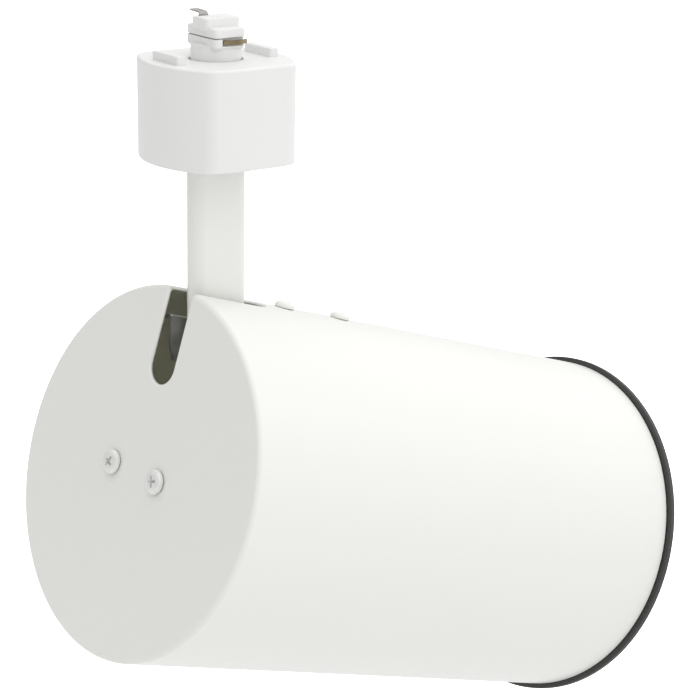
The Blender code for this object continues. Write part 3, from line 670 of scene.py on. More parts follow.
def housing_pad(sign):
    """A locking pad on the housing's top, with its upper edge eased."""

    def outline_at(inset):
        outline = rounded_rectangle(PAD_THICK / 2 - inset, PAD_WIDTH / 2 - inset, 0.6 * MM - inset / 2)
        return [(x + sign * PAD_X, y) for x, y in outline]

    ease = 0.4 * MM
    levels = [(-MM, 0), (PAD_HEIGHT - ease, 0), (PAD_HEIGHT - 0.12 * MM, 0.12 * MM), (PAD_HEIGHT, ease)]
    return stacked(outline_at, levels)


def lug_outline(inset):
    """The lugs' plan, drawn in this far along X and along Y."""
    return rounded_rectangle(LUG_X - inset[0], LUG_Y - inset[1], LUG_CORNER)


def add_plug(material):
    low_top = LUG_SPLIT_Z - GAP / 2
    levels = (
        (LUG_BASE_Z, (0.95 * MM, 1.9 * MM)),
        (LUG_BASE_Z + 1.4 * MM, (0.06 * MM, 0.12 * MM)),
        (LUG_BASE_Z + 1.65 * MM, (0, 0)),
        (low_top - 0.15 * MM, (0, 0)),
        (low_top, (0.15 * MM, 0.15 * MM)),
    )
    lug = stacked(lug_outline, levels)
    neck = turned(
        (
            (CHAMBER_TOP_Z - 1.5 * MM, NECK_RADIUS),
            (-0.6 * MM, NECK_RADIUS),
            (LUG_BASE_Z + 1.6 * MM, NECK_RADIUS),
            (LUG_BASE_Z + 2.0 * MM, NECK_RADIUS - 0.4 * MM),
        ),
        96,
    )
    outer = rounded_rectangle(CHAMBER_X, CHAMBER_Y, 4 * MM)
    inner = rounded_rectangle(CHAMBER_X - CHAMBER_WALL, CHAMBER_Y - CHAMBER_WALL, 2 * MM)
    chamber = skin_loops(
        [
            at_height(inner, CHAMBER_TOP_Z - CHAMBER_WALL),
            at_height(inner, CHAMBER_BASE_Z),
            at_height(outer, CHAMBER_BASE_Z),
            at_height(outer, CHAMBER_TOP_Z),
        ]
    )
    boss_top = CHAMBER_TOP_Z - MM
    bosses = [moved(rod(2.7 * MM, CHAMBER_BASE_Z, boss_top, 24), y=sign * BASE_SCREW_Y) for sign in (-1, 1)]
    mesh = combined(neck, [lug, chamber, *bosses], "UNION")
    cutters = [rod(NECK_BORE, CHAMBER_TOP_Z - 3 * MM, LUG_SPLIT_Z + MM, 48)]
    for sign in (-1, 1):
        hole = rod(1.5 * MM, CHAMBER_BASE_Z - MM, CHAMBER_BASE_Z + 9 * MM, 24)
        cutters.append(moved(hole, y=sign * BASE_SCREW_Y))
        cutters.append(contact_pocket(sign))
    mesh = combined(mesh, cutters)
    add_piece("plug_lower_half", mesh, material, "adapter", ["plug_lower"])


def contact_pocket(sign):
    low, high = sorted((sign * 6.6 * MM, sign * 9 * MM))
    outline = [(-3 * MM, low), (7 * MM, low), (7 * MM, high), (-3 * MM, high)]
    return pillar(outline, LUG_SPLIT_Z - 2.4 * MM, LUG_SPLIT_Z + MM)


def nose_outline(inset):
    return rounded_rectangle(NOSE_X - inset, NOSE_Y - inset, 1.5 * MM)


def add_plug_nose(material):
    base = LUG_SPLIT_Z + GAP / 2
    levels = [
        (base, (0.15 * MM, 0.15 * MM)),
        (base + 0.15 * MM, (0, 0)),
        (LUG_TOP_Z - 0.6 * MM, (0, 0)),
        (LUG_TOP_Z - 0.18 * MM, (0.18 * MM, 0.18 * MM)),
        (LUG_TOP_Z, (0.6 * MM, 0.6 * MM)),
    ]
    nose_levels = [
        (LUG_TOP_Z - MM, 0),
        (NOSE_TOP_Z - 0.5 * MM, 0),
        (NOSE_TOP_Z - 0.15 * MM, 0.15 * MM),
        (NOSE_TOP_Z, 0.5 * MM),
    ]
    mesh = combined(stacked(lug_outline, levels), [stacked(nose_outline, nose_levels)], "UNION")
    above = NOSE_TOP_Z + MM
    slot = pillar(rounded_rectangle(1.9 * MM, 0.7 * MM, 0.25 * MM), NOSE_TOP_Z - 3 * MM, above)
    cutters = [moved(slot, -2.6 * MM, 3 * MM)]
    for x in (-2.2 * MM, -0.2 * MM):
        dent = pillar(rounded_rectangle(0.55 * MM, 0.3 * MM, 0.15 * MM), NOSE_TOP_Z - 0.6 * MM, above)
        cutters.append(moved(dent, x, -1.6 * MM))
    mesh = combined(mesh, cutters)
    add_piece("plug_upper_half", mesh, material, "adapter", ["plug_upper"])


def strip_outline(path, thickness):
    """The closed outline of a bent strip: a path of points, and the same path moved to its left."""
    shifted = []
    for index, point in enumerate(path):
        before = path[max(index - 1, 0)]
        after = path[min(index + 1, len(path) - 1)]
        dx, dy = after[0] - before[0], after[1] - before[1]
        length = math.hypot(dx, dy)
        shifted.append((point[0] - dy / length * thickness, point[1] + dx / length * thickness))
    return list(path) + shifted[::-1]


def add_contacts(brass, steel):
    rise = NOSE_TOP_Z + 0.7 * MM
    corners = [
        (3.25 * MM, NOSE_TOP_Z - 2.6 * MM, 0),
        (3.25 * MM, rise, 0.7 * MM),
        (8.8 * MM, rise + 0.3 * MM, 0),
    ]
    outline = strip_outline(rounded(corners, 8, closed=False), 0.5 * MM)
    loops = [[(x, y, z) for y, z in outline] for x in (-4.2 * MM, -1.0 * MM)]
    mesh = softened(skin_loops(loops), 0.08 * MM, 2)
    add_piece("top_blade", mesh, steel, "adapter", ["contact_line"])
    for node, sign in (("contact_neutral", -1), ("contact_ground", 1)):
        mesh = pillar(leaf_outline(sign), LUG_SPLIT_Z - 1.9 * MM, LUG_SPLIT_Z - 0.6 * MM)
        mesh = softened(mesh, 0.1 * MM, 2)
        add_piece(node.replace("contact", "leaf"), mesh, brass, "adapter", [node])


def leaf_outline(sign):
    """A leaf that bows out of its pocket: an outer arc and a flatter inner one."""
    start, end, back, steps = -2.2 * MM, 6.2 * MM, 7.4 * MM, 20
    outer = []
    inner = []
    for step in range(steps + 1):
        t = step / steps
        x = start + (end - start) * t
        swell = math.sin(math.pi * t)
        outer.append((x, sign * (back + 0.6 * MM + 1.9 * MM * swell)))
        inner.append((x, sign * (back + 1.3 * MM * swell)))
    return outer + inner[::-1]


def coil_loops(radius, wire, low, high, turns, steps=48, sides=12):
    """The rings of a wire that climbs in a helix."""
    loops = []
    count = int(turns * steps)
    for i in range(count + 1):
        angle = math.tau * i / steps
        z = low + (high - low) * i / count
        ring = []
        for side in range(sides):
            a = math.tau * side / sides
            reach = radius + wire * math.cos(a)
            ring.append((reach * math.cos(angle), reach * math.sin(angle), z + wire * math.sin(a)))
        loops.append(ring)
    return loops


def add_spring(steel):
    low = CHAMBER_TOP_Z + SPRING_WIRE + GAP
    high = -BOX_TOP - SPRING_WIRE - GAP
    mesh = skin_loops(coil_loops(SPRING_RADIUS, SPRING_WIRE, low, high, SPRING_TURNS))
    mesh.shade_smooth()
    nodes = ["return_spring"]
    spring = add_piece("return_coil", mesh, steel, "adapter", nodes, weighted=False)
    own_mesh(spring)


def add_base(plastic, steel):
    offset = BOX_OFFSET - BOX_WALL - 0.5 * MM
    chamfer = 0.3 * MM
    levels = [(PLATE_BASE_Z, offset - chamfer), (PLATE_BASE_Z + chamfer, offset), (PLATE_TOP_Z, offset)]
    mesh = stacked(box_outline, levels)
    hole = [
        (PLATE_BASE_Z - MM, 6.2 * MM),
        (PLATE_BASE_Z, 5.6 * MM),
        (PLATE_BASE_Z + 0.4 * MM, 5.2 * MM),
        (PLATE_TOP_Z + MM, 5.2 * MM),
    ]
    groove = [
        (PLATE_BASE_Z - MM, 9.4 * MM),
        (PLATE_BASE_Z + 0.4 * MM, 9.2 * MM),
        (PLATE_BASE_Z + 0.4 * MM, 8.6 * MM),
        (PLATE_BASE_Z - MM, 8.4 * MM),
    ]
    cutters = [turned(hole, 64), turned(groove, 64, closed=True)]
    for sign in (-1, 1):
        bore = rod(1.6 * MM, PLATE_BASE_Z - MM, PLATE_TOP_Z + MM, 24)
        cutters.append(moved(bore, y=sign * BASE_SCREW_Y))
    add_piece("bottom_plate", combined(mesh, cutters), plastic, "adapter", ["base_plate"])
    for index, sign in enumerate((-1, 1)):
        mesh = pan_screw(2.6 * MM, 1.3 * MM, 1.2 * MM, 8 * MM)
        mesh.transform(AXES["-Z"])
        mesh = moved(mesh, y=sign * BASE_SCREW_Y, z=PLATE_BASE_Z - GAP)
        name = f"base_screw_{index + 1}"
        add_piece(f"plate_screw_{index + 1}", mesh, steel, "adapter", [name])


# ---- stem


def stem_outline(inset):
    return racetrack(STEM_WIDTH / 2 - inset, STEM_THICK / 2 - inset)


def near_pivot(edge):
    return edge.verts[0].co.z < PIVOT.z + 4 * MM


def add_stem(material):
    bottom = PIVOT.z - STEM_WIDTH / 2
    ease = 0.35 * MM
    levels = [
        (bottom - 2 * MM, 0),
        (STEM_TOP_Z - ease, 0),
        (STEM_TOP_Z - ease * 0.3, ease * 0.3),
        (STEM_TOP_Z, ease),
        (STEM_TOP_Z, STEM_WALL),
        (bottom - 2 * MM, STEM_WALL),
    ]
    mesh = skin_loops([at_height(stem_outline(inset), z) for z, inset in levels], closed=True)
    radius = STEM_WIDTH / 2
    arc = arc_points((0, PIVOT.z), radius, math.pi, math.tau, 49)
    reach = radius + 3 * MM
    around = [(-reach, PIVOT.z), *arc, (reach, PIVOT.z), (reach, bottom - 5 * MM), (-reach, bottom - 5 * MM)]
    bore = circle_outline(BOLT_RADIUS + 0.1 * MM, 40, (0, PIVOT.z))
    cutters = [plate_along_y(outline, -STEM_THICK, STEM_THICK) for outline in (around, bore)]
    mesh = combined(mesh, cutters)
    mesh = softened(mesh, 0.25 * MM, 3, SHARP_ANGLE, near_pivot)
    add_piece("stem_arm", mesh, material, "stem", ["stem_tube"], STEM_PLACE)


def add_swivel(steel):
    nipple_low = STEM_TOP_Z - 6 * MM
    mesh = pillar(stem_outline(STEM_WALL + 0.2 * MM), nipple_low, STEM_TOP_Z + 0.4 * MM)
    tube = [(STEM_TOP_Z + 0.2 * MM, 5 * MM), (-22.5 * MM, 5 * MM)]
    tube += thread_profile(-22.4 * MM, -19.3 * MM, 5 * MM, 0.9 * MM) + [(-19 * MM, 4.6 * MM)]
    mesh = combined(mesh, [turned(tube, 48)], "UNION")
    mesh = combined(mesh, [pillar(racetrack(3.4 * MM, 2.3 * MM, 13), nipple_low - MM, -18 * MM)])
    add_piece("swivel_tube", mesh, steel, "stem", ["swivel_nipple"], STEM_PLACE)
    low = PLATE_TOP_Z + GAP
    corners = [(low, 5.1 * MM, 0.1 * MM), (low, 8 * MM, 0.15 * MM), (low + 0.8 * MM, 8 * MM, 0.15 * MM)]
    corners.append((low + 0.8 * MM, 5.1 * MM, 0.1 * MM))
    mesh = turned(rounded(corners, 3), 64, closed=True)
    add_piece("swivel_ring", mesh, steel, "stem", ["swivel_washer"], STEM_PLACE)
    nut = moved(hex_nut(8.1 * MM, 3.6 * MM, 5.1 * MM), z=low + 0.9 * MM)
    add_piece("swivel_hex", nut, steel, "stem", ["swivel_nut"], STEM_PLACE)


# ---- head


def shell_profile():
    inner = SHELL_RADIUS - SHELL_WALL
    corners = [
        (SHELL_WALL, inner - 2 * MM, 0),
        (SHELL_WALL, inner, 1.2 * MM),
        (40 * MM, inner, 0),
        (80 * MM, inner, 0),
        (SHELL_LENGTH, inner, 0.3 * MM),
        (SHELL_LENGTH, SHELL_RADIUS, 0.5 * MM),
        (80 * MM, SHELL_RADIUS, 0),
        (40 * MM, SHELL_RADIUS, 0),
        (0, SHELL_RADIUS, SHELL_EDGE),
        (0, SHELL_RADIUS - 2 * MM, 0),
    ]
    return rounded(corners, 8, closed=False)


def slot_cutters():
    """The slot's two legs, along the can's top and down its flat back. Both flare to a rounded outer lip."""
    levels = [(10 * MM, 0), *lip_arc(), (-5 * MM, SLOT_LIP)]
    top = []
    back = []
    for depth, flare in levels:
        half = SLOT_HALF + flare
        outline = arc_points((SLOT_END_S, 0), half, -math.pi / 2, math.pi / 2, 41)
        outline += [(-5 * MM, half), (-5 * MM, -half)]
        top.append([(s, y, math.sqrt(SHELL_RADIUS ** 2 - y ** 2) - depth) for s, y in outline])
        outline = arc_points((0, SLOT_END_W), half, math.pi, math.tau, 41)
        outline += [(half, 65 * MM), (-half, 65 * MM)]
        back.append([(depth, y, w) for y, w in outline])
    return [skin_loops(top), skin_loops(back)]


def lip_arc(steps=6):
    """The slot's rounded lip: how deep each level lies, and how far the slot flares there."""
    angles = [math.pi / 2 * i / steps for i in range(steps + 1)]
    return [(SLOT_LIP * (1 - math.sin(a)), SLOT_LIP * (1 - math.cos(a))) for a in angles]


def dimple_profile(steps=12):
    """A shallow dish whose side rises to just past the flat back along half a cosine wave."""
    dish = [(DIMPLE_DEPTH, BACK_HOLE_RADIUS)]
    for i in range(steps + 1):
        t = i / steps
        radius = DIMPLE_FLOOR + (DIMPLE_RADIUS - DIMPLE_FLOOR) * t
        dish.append((DIMPLE_DEPTH * (0.5 + 0.5 * math.cos(math.pi * t)) - DIMPLE_PAST * t, radius))
    return dish + [(-MM, DIMPLE_RADIUS + MM)]


def back_cutters():
    """The dimples in the flat back, and the screw holes in them."""
    cutters = []
    for sign in (-1, 1):
        dish = turned(dimple_profile(), 64, "X")
        hole = rod(BACK_HOLE_RADIUS, -2 * MM, 4 * MM, axis="X")
        cutters += [moved(mesh, y=sign * HOLDER_SCREW_Y) for mesh in (dish, hole)]
    return cutters


def bracket_holes(places):
    """Cutters for screw holes through the can's top and the bracket's plate, at these places along S."""
    outlines = [circle_outline(1.9 * MM, 32, (s, 0)) for s in places]
    return [pillar(outline, 50 * MM, 65 * MM) for outline in outlines]


def true_normals(polygon, points):
    """The normals at a face's points, where it lies on one of the can's flat or round surfaces."""
    slack = 0.02 * MM
    for place, sign in ((0, -1), (SHELL_WALL, 1)):
        if abs(polygon.normal.x) > 0.999 and abs(polygon.center.x - place) < slack:
            return [Vector((sign, 0, 0))] * len(points)
    for radius, sign in ((SHELL_RADIUS, 1), (SHELL_RADIUS - SHELL_WALL, -1)):
        if all(abs(math.hypot(point.y, point.z) - radius) < slack for point in points):
            return [sign * Vector((0, point.y, point.z)).normalized() for point in points]
    return []


def merge_points(mesh):
    bm = bmesh.new()
    bm.from_mesh(mesh)
    bmesh.ops.remove_doubles(bm, verts=bm.verts, dist=0.002 * MM)
    bm.to_mesh(mesh)
    bm.free()


def place_shell(mesh):
    """Moves the can to the head, with the normals of its true round and flat surfaces."""
    normals = [vertex.normal.copy() for vertex in mesh.vertices]
    for polygon in mesh.polygons:
        found = true_normals(polygon, [mesh.vertices[i].co for i in polygon.vertices])
        for i, normal in zip(polygon.vertices, found):
            normals[i] = normal
    mesh.transform(HEAD_PLACE)
    mesh.shade_smooth()
    turn = HEAD_PLACE.to_3x3()
    mesh.normals_split_custom_set_from_vertices([turn @ normal for normal in normals])


def add_shell(outside, inside):
    cutters = slot_cutters() + back_cutters() + bracket_holes(BRACKET_SCREW_S)
    mesh = combined(turned(shell_profile(), 240, "X"), cutters)
    merge_points(mesh)
    slack = 0.05 * MM
    for polygon in mesh.polygons:
        radius = math.hypot(polygon.center.y, polygon.center.z)
        within = radius < SHELL_RADIUS - SHELL_WALL + slack and polygon.center.x > SHELL_WALL - slack
        polygon.material_index = int(within)
    place_shell(mesh)
    add_piece("lamp_can", mesh, [outside, inside], "head", ["shell"], weighted=False)


def bracket_side():
    """The bracket from the side: an eye about the pivot, an ear behind it, an arm to the plate in front."""
    under = BRACKET_TOP_W - BRACKET_THICK
    ear = [
        (EAR_FRONT_S, EAR_TOP_W, 0),
        (EAR_BACK_S, EAR_TOP_W, 0.4 * MM),
        (EAR_BACK_S, EAR_TOP_W - BRACKET_THICK, 0),
        (EAR_BACK_S + 2.3 * MM, EAR_TOP_W - 9.4 * MM, 12 * MM),
        (EAR_BACK_S + 5.2 * MM, EAR_TOP_W - 14.2 * MM, 0),
    ]
    eye = arc_points((PIVOT_S, PIVOT_W), EYE_RADIUS, math.radians(225), math.radians(305), 25)
    arm = [
        (59 * MM, under - 1.2 * MM),
        (PLATE_END_S, under - 1.2 * MM),
        (PLATE_END_S, BRACKET_TOP_W + MM),
        (PLATE_START_S, BRACKET_TOP_W + MM),
        (PLATE_START_S, BRACKET_TOP_W - 0.4 * MM),
        (PLATE_START_S - 3 * MM, under),
    ]
    return rounded(ear, 8, closed=False) + eye + arm


def ear_lip(sign):
    """The ear's top, bent outward."""
    outer_y = BRACKET_INNER_Y + BRACKET_THICK
    corners = [
        (outer_y - 0.5 * MM, EAR_TOP_W - BRACKET_THICK, 0),
        (EAR_LIP_Y, EAR_TOP_W - BRACKET_THICK, 0),
        (EAR_LIP_Y, EAR_TOP_W, 0.5 * MM),
        (outer_y - 0.5 * MM, EAR_TOP_W, 0),
    ]
    outline = rounded(corners, 4)
    spans = (EAR_BACK_S + 0.01 * MM, EAR_FRONT_S - 0.01 * MM)
    return skin_loops([[(s, sign * y, w) for y, w in outline] for s in spans])


def add_bracket(material, bright):
    """A bent sheet-metal channel: a plate under the can's top and two cheeks with bent ears, whose top faces
    carry a painted highlight in a brighter zinc.
    """
    outer_y = BRACKET_INNER_Y + BRACKET_THICK
    under = BRACKET_TOP_W - BRACKET_THICK
    low = 30 * MM
    corners = [
        (outer_y, low, 0),
        (outer_y, BRACKET_TOP_W, 2 * MM),
        (-outer_y, BRACKET_TOP_W, 2 * MM),
        (-outer_y, low, 0),
        (-BRACKET_INNER_Y, low, 0),
        (-BRACKET_INNER_Y, under, 0.6 * MM),
        (BRACKET_INNER_Y, under, 0.6 * MM),
        (BRACKET_INNER_Y, low, 0),
    ]
    channel = rounded(corners, 6)
    mesh = skin_loops([[(s, y, w) for y, w in channel] for s in (0, 80 * MM)])
    reach = 12 * MM
    mesh = combined(mesh, [plate_along_y(bracket_side(), -reach, reach)], "INTERSECT")
    mesh = combined(mesh, [ear_lip(sign) for sign in (-1, 1)], "UNION")
    bore = circle_outline(BOLT_RADIUS + 0.1 * MM, 40, (PIVOT_S, PIVOT_W))
    holes = bracket_holes((*BRACKET_SCREW_S, GROUND_SCREW_S))
    mesh = combined(mesh, [plate_along_y(bore, -reach, reach), *holes])
    mesh = softened(mesh, 0.18 * MM, 2, SHARP_ANGLE)
    # The ears' top faces take the second, brighter material: a painted highlight for light falling on them
    # through the slot.
    for polygon in mesh.polygons:
        on_ear = polygon.center.x < EAR_FRONT_S
        polygon.material_index = int(on_ear and polygon.center.z > EAR_TOP_W - 0.3 * MM)
    add_head_piece("pivot_yoke", mesh, [material, bright], "pivot_bracket")


def add_pivot(steel):
    face = BRACKET_INNER_Y + BRACKET_THICK + 0.2 * MM
    bolt = pan_screw(4.4 * MM, 2.6 * MM, BOLT_RADIUS, 2 * face + 4.6 * MM)
    bolt.transform(AXES["-Y"])
    add_head_piece("tilt_bolt", moved(bolt, y=-face), steel, "pivot_bolt", PIVOT_PLACE)
    nut = hex_nut(4.6 * MM, 3.6 * MM, BOLT_RADIUS + 0.1 * MM)
    nut.transform(AXES["Y"])
    add_head_piece("tilt_nut", moved(nut, y=face), steel, "pivot_nut", PIVOT_PLACE)
    low = STEM_THICK / 2 + 0.2 * MM
    high = BRACKET_INNER_Y - 0.2 * MM
    bore = BOLT_RADIUS + 0.1 * MM
    for name, sign in (("friction_washer_right", -1), ("friction_washer_left", 1)):
        corners = [(low, bore), (low, 7 * MM), (high, 7 * MM), (high, bore)]
        ring = rounded([(sign * along, radius, 0.12 * MM) for along, radius in corners], 3)
        mesh = turned(ring, 64, "Y", closed=True)
        piece = name.replace("friction", "tilt")
        add_head_piece(piece, mesh, steel, name, PIVOT_PLACE)


def add_head_screws(white, bright, zinc, green):
    for name, sign, turn in (("right", -1, 0.35), ("left", 1, 1.1)):
        mesh = pan_screw(3.9 * MM, 1.9 * MM, 1.8 * MM, 11 * MM, steps=64, dome=0.55)
        mesh.transform(Matrix.Rotation(turn, 4, "Z"))
        mesh.transform(AXES["-X"])
        mesh = moved(mesh, -GAP, sign * HOLDER_SCREW_Y)
        add_head_piece(f"back_screw_{name}", mesh, bright, f"holder_screw_{name}")
    under = BRACKET_TOP_W - BRACKET_THICK - 0.2 * MM
    for index, s in enumerate(BRACKET_SCREW_S):
        base = SHELL_RADIUS + 0.1 * MM
        mesh = pan_screw(3.3 * MM, 2.0 * MM, 1.6 * MM, base - under + 3.9 * MM, steps=64, dome=0.7)
        mesh.transform(Matrix.Rotation(0.5 + index, 4, "Z"))
        mesh = moved(mesh, s, 0, base)
        number = index + 1
        add_head_piece(f"top_screw_{number}", mesh, white, f"bracket_screw_{number}")
        nut = moved(hex_nut(4 * MM, 2.6 * MM, 1.7 * MM), s, 0, under - 2.6 * MM)
        add_head_piece(f"top_nut_{number}", nut, zinc, f"bracket_nut_{number}")
    mesh = pan_screw(3 * MM, 2 * MM, 1.6 * MM, BRACKET_TOP_W - under)
    mesh.transform(AXES["-Z"])
    mesh = moved(mesh, GROUND_SCREW_S, 0, under)
    add_head_piece("earth_screw", mesh, green, "ground_screw")


def add_lampholder(porcelain, nickel, brass, zinc):
    back = SHELL_WALL + GAP
    corners = [
        (back, 4 * MM, 0),
        (back, HOLDER_RADIUS, 0.5 * MM),
        (12.5 * MM, HOLDER_RADIUS, 1.2 * MM),
        (14.0 * MM, HOLDER_WAIST, 1.0 * MM),
        (HOLDER_MOUTH_S - 5 * MM, HOLDER_WAIST, 0),
        (HOLDER_MOUTH_S, HOLDER_WAIST - 0.2 * MM, 0.9 * MM),
        (HOLDER_MOUTH_S, HOLDER_BORE, 0.5 * MM),
        (15 * MM, HOLDER_BORE, 0.6 * MM),
        (15 * MM, 4 * MM, 0),
    ]
    mesh = turned(rounded(corners, 5, closed=False), 96, "X")
    cutters = []
    for sign in (-1, 1):
        hole = rod(2.1 * MM, 0, 13 * MM, axis="X")
        cutters.append(moved(hole, y=sign * HOLDER_SCREW_Y))
        hole = rod(1.7 * MM, 0, 8 * MM, axis="X")
        cutters.append(moved(hole, z=sign * 15.6 * MM))
    mesh = combined(mesh, cutters)
    add_head_piece("porcelain_base", mesh, porcelain, "lampholder")
    add_head_piece("lamp_thread", screw_shell(), nickel, "screw_shell")
    corners_mm = [(15.3, 1, 0), (15.3, 3.2, 0.1), (18.3, 3.2, 0.5), (19, 2.2, 0.4), (19.4, 0.6, 0)]
    corners = [(s * MM, radius * MM, rounding * MM) for s, radius, rounding in corners_mm]
    mesh = turned(rounded(corners, 4, closed=False), 48, "X")
    add_head_piece("lamp_contact", mesh, brass, "centre_contact")
    for name, sign in (("lower", -1), ("upper", 1)):
        mesh = pan_screw(3 * MM, 2 * MM, 0.9 * MM, 0.25 * MM, dome=0.3)
        if sign < 0:
            mesh.transform(AXES["-Z"])
        mesh = moved(mesh, 8.5 * MM, 0, sign * (HOLDER_RADIUS + GAP))
        node = f"terminal_screw_{name}"
        add_head_piece(f"wire_screw_{name}", mesh, zinc, node)


def waving_ring(s, radius, depth, steps=72):
    """A ring about the lamp's axis that follows its thread, as deep as this."""
    points = []
    for i in range(steps):
        angle = math.tau * i / steps
        reach = radius + depth * math.sin(math.tau * s / THREAD_PITCH - angle)
        points.append((s, reach * math.cos(angle), reach * math.sin(angle)))
    return points


def sleeve_rings(start, length, radius, rows=96, fade_rows=8):
    """The rings of a threaded sleeve. Its thread fades in at one end and out at the other."""
    rings = []
    for row in range(rows + 1):
        fade = min(1, row / fade_rows, (rows - row) / fade_rows)
        rings.append(waving_ring(start + length * row / rows, radius, THREAD_DEPTH * fade))
    return rings


def screw_shell():
    """The lamp's threaded sleeve: thin metal rolled into a helix, with a floor that has a hole in it."""
    thin = 0.35 * MM
    floor_hole = 6 * MM
    back = SCREW_SHELL_BACK_S
    radius = SCREW_SHELL_BORE + 0.1 * MM
    start = back + thin + 0.7 * MM
    length = HOLDER_MOUTH_S - 1.5 * MM - back - 1.4 * MM
    rings = [waving_ring(back + thin, floor_hole, 0), waving_ring(back + thin, radius - 0.7 * MM, 0)]
    rings += sleeve_rings(start, length, radius)
    rings += sleeve_rings(start, length, radius + thin)[::-1]
    rings += [waving_ring(back, SCREW_SHELL_BORE, 0), waving_ring(back, floor_hole, 0)]
    return skin_loops(rings, closed=True)


def baffle_profile():
    corners = [
        (BAFFLE_BACK_S, BAFFLE_RADIUS, 0.4 * MM),
        (FLANGE_BACK_S, BAFFLE_RADIUS, 0.3 * MM),
        (FLANGE_BACK_S, FLANGE_RADIUS, 0.35 * MM),
        (FLANGE_FRONT_S - 0.5 * MM, FLANGE_RADIUS, 0.3 * MM),
        (FLANGE_FRONT_S, FLANGE_RADIUS - 0.7 * MM, 0.4 * MM),
        (FLANGE_FRONT_S, BAFFLE_MOUTH, 0.7 * MM),
    ]
    rib = (FLANGE_FRONT_S - 3 * MM - BAFFLE_BACK_S) / BAFFLE_RIBS
    step = (BAFFLE_MOUTH - BAFFLE_THROAT) / BAFFLE_RIBS
    for index in range(BAFFLE_RIBS):
        s = FLANGE_FRONT_S - 3 * MM - index * rib
        radius = BAFFLE_MOUTH - index * step
        corners += [(s, radius, 0.25 * MM), (s - rib * 0.35, radius - step, 0.25 * MM)]
    corners.append((BAFFLE_BACK_S, BAFFLE_THROAT, 0.3 * MM))
    return rounded(corners, 4)


def clip_outline(steps=28):
    """A strip of spring steel along the baffle's wall, which bows out in its middle."""
    start = FLANGE_BACK_S - 2 * MM
    end = BAFFLE_BACK_S + 6 * MM
    base = BAFFLE_RADIUS + 0.35 * MM
    path = []
    for i in range(steps + 1):
        t = i / steps
        path.append((start + (end - start) * t, base + 1.4 * MM * math.sin(math.pi * t) ** 2))
    return strip_outline(path, -0.45 * MM)


def add_baffle(black, spring_steel):
    mesh = turned(baffle_profile(), 192, "X", closed=True)
    add_piece("ribbed_baffle", mesh, black, "baffle_assembly", ["baffle"], HEAD_PLACE)
    for index in range(3):
        strip = plate_along_y(clip_outline(), -CLIP_WIDTH / 2, CLIP_WIDTH / 2)
        mesh = softened(strip, 0.1 * MM, 2, SHARP_ANGLE)
        mesh.transform(Matrix.Rotation(math.radians(30 + 120 * index), 4, "X"))
        nodes = [f"baffle_clip_{index + 1}"]
        piece = f"grip_spring_{index + 1}"
        add_piece(piece, mesh, spring_steel, "baffle_assembly", nodes, HEAD_PLACE)


# ---- leads


def smooth_route(points, pieces=10):
    """Points along a smooth curve through the given ones (Catmull-Rom)."""
    padded = [points[0], *points, points[-1]]
    route = []
    for p0, p1, p2, p3 in zip(padded, padded[1:], padded[2:], padded[3:]):
        for step in range(pieces):
            t = step / pieces
            bend = 2 * p0 - 5 * p1 + 4 * p2 - p3
            twist = 3 * p1 - p0 - 3 * p2 + p3
            route.append(0.5 * (2 * p1 + (p2 - p0) * t + bend * t ** 2 + twist * t ** 3))
    return route + [points[-1]]


def tube_along(route, radius, sides=14):
    """A round tube along a route, its rings carried on without twisting."""
    loops = []
    across = Vector((1, 0, 0))
    for index, point in enumerate(route):
        ahead = route[min(index + 1, len(route) - 1)] - route[max(index - 1, 0)]
        ahead.normalize()
        across = (across - ahead * across.dot(ahead)).normalized()
        other = ahead.cross(across)
        angles = [math.tau * i / sides for i in range(sides)]
        loops.append([point + (across * math.cos(a) + other * math.sin(a)) * radius for a in angles])
    return skin_loops(loops)


def lead_routes():
    """Each lead's points in the stem, drawn on the stem's axis, and in the head, drawn as S, Y and W."""
    return {
        "line": (
            (5.5, 0.0),
            ((30, 1.5, 28), (36, 3, 25), (34, 6, 21.5), (22, 6, 20.4), (13.2, 3.6, 20.8)),
        ),
        "neutral": (
            (-7.2, 0.8),
            ((33, -1.5, 29), (40, -9, 25), (34, -20, 12), (22, -22, -6), (12, -14, -18), (9, -4.4, -20.6)),
        ),
        "ground": (
            (-4.7, -0.8),
            ((28, 0, 25.5), (40, 0, 29), (52, 0, 40), (55, 0, 52.8)),
        ),
    }


def stem_route(index, x, y):
    """A lead's way down the nipple and the stem, to just below the pivot."""
    angle = math.tau * index / 3
    bundle = 1.25
    near_x, near_y = bundle * math.cos(angle), bundle * math.sin(angle)
    pivot = PIVOT.z / MM
    points = [
        (near_x, near_y, 5.6),
        (near_x, near_y, -20),
        (near_x, near_y, -38),
        (near_x + 0.12 * (x - near_x), near_y, -44),
        (x, y, -58),
        (x, y, pivot + 6),
        (x * 0.85, y, pivot - 7.2),
    ]
    return [STEM_PLACE @ (Vector(point) * MM) for point in points]


def add_leads(materials):
    """Each lead is one fixed wire from the plug to its terminal, drawn past the pivot with the head at rest.
    """
    for index, (name, (place, in_head)) in enumerate(lead_routes().items()):
        upper = stem_route(index, *place)
        lower = [HEAD_PLACE @ (Vector(point) * MM) for point in in_head]
        mesh = tube_along(smooth_route(upper + lower), LEAD_RADIUS)
        mesh.shade_smooth()
        nodes = [f"lead_{name}_stem", f"lead_{name}_head"]
        wire = add_piece(f"wire_{name}", mesh, materials[name], None, nodes, weighted=False)
        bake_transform(wire)


# ---- assembly


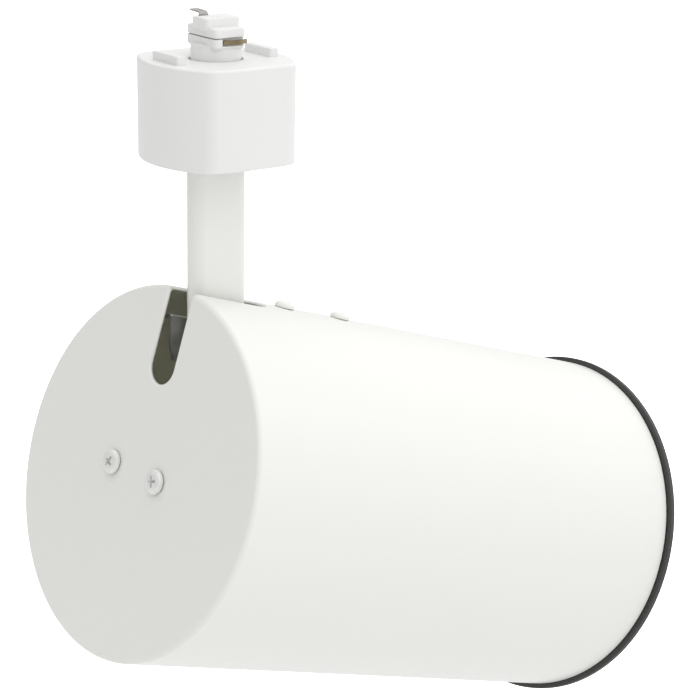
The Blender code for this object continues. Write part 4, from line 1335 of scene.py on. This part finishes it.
def make_pieces():
    plastic = moulded("white_plastic", (0.83, 0.83, 0.82), (0.81, 0.81, 0.8), 0.34)
    white = painted("white_paint", (0.835, 0.84, 0.805), (0.82, 0.825, 0.79), 0.3)
    inside = painted("inner_coat", (0.745, 0.745, 0.63), (0.72, 0.72, 0.6), 0.6)
    black = painted("black_paint", (0.035, 0.035, 0.034), (0.05, 0.05, 0.048), 0.5, 0.12)
    zinc = plated("zinc", (0.78, 0.78, 0.76), (0.62, 0.62, 0.6), 0.28)
    # Bright zinc: the back screws' own whitish plating, and also the painted highlight on the bracket ears'
    # tops.
    bright_zinc_and_painted_highlight = plated("bright_zinc_and_painted_highlight", (0.86, 0.86, 0.84), (0.76, 0.76, 0.74), 0.42, metallic=0.35)
    dark_zinc = plated("rolled_zinc", (0.34, 0.34, 0.33), (0.24, 0.24, 0.23), 0.38, (0.15, 1, 1), 0.6)
    steel = plated("spring_steel", (0.45, 0.44, 0.42), (0.3, 0.29, 0.28), 0.3)
    brass = plated("brass", (0.72, 0.53, 0.25), (0.45, 0.32, 0.15), 0.3)
    dull_brass = plated("dull_brass", (0.34, 0.27, 0.16), (0.2, 0.16, 0.1), 0.38)
    nickel = plated("nickel", (0.76, 0.73, 0.67), (0.62, 0.59, 0.53), 0.24)
    porcelain = glazed("porcelain", (0.84, 0.82, 0.76), (0.78, 0.75, 0.68))
    green = plated("green_screw", (0.1, 0.36, 0.15), (0.06, 0.24, 0.1), 0.35)
    insulation = {
        "line": insulated("black_insulation", (0.02, 0.02, 0.02), (0.04, 0.04, 0.04)),
        "neutral": insulated("white_insulation", (0.8, 0.8, 0.77), (0.7, 0.7, 0.66)),
        "ground": insulated("green_insulation", (0.05, 0.3, 0.1), (0.04, 0.22, 0.08)),
    }
    add_housing(plastic)
    add_plug(plastic)
    add_plug_nose(plastic)
    add_contacts(dull_brass, steel)
    add_spring(steel)
    add_base(plastic, steel)
    add_stem(white)
    add_swivel(zinc)
    add_shell(white, inside)
    add_bracket(dark_zinc, bright_zinc_and_painted_highlight)
    add_pivot(zinc)
    add_head_screws(white, bright_zinc_and_painted_highlight, zinc, green)
    add_lampholder(porcelain, nickel, brass, zinc)
    add_baffle(black, steel)
    add_leads(insulation)


add_camera()
add_light()
add_floor()
make_pieces()
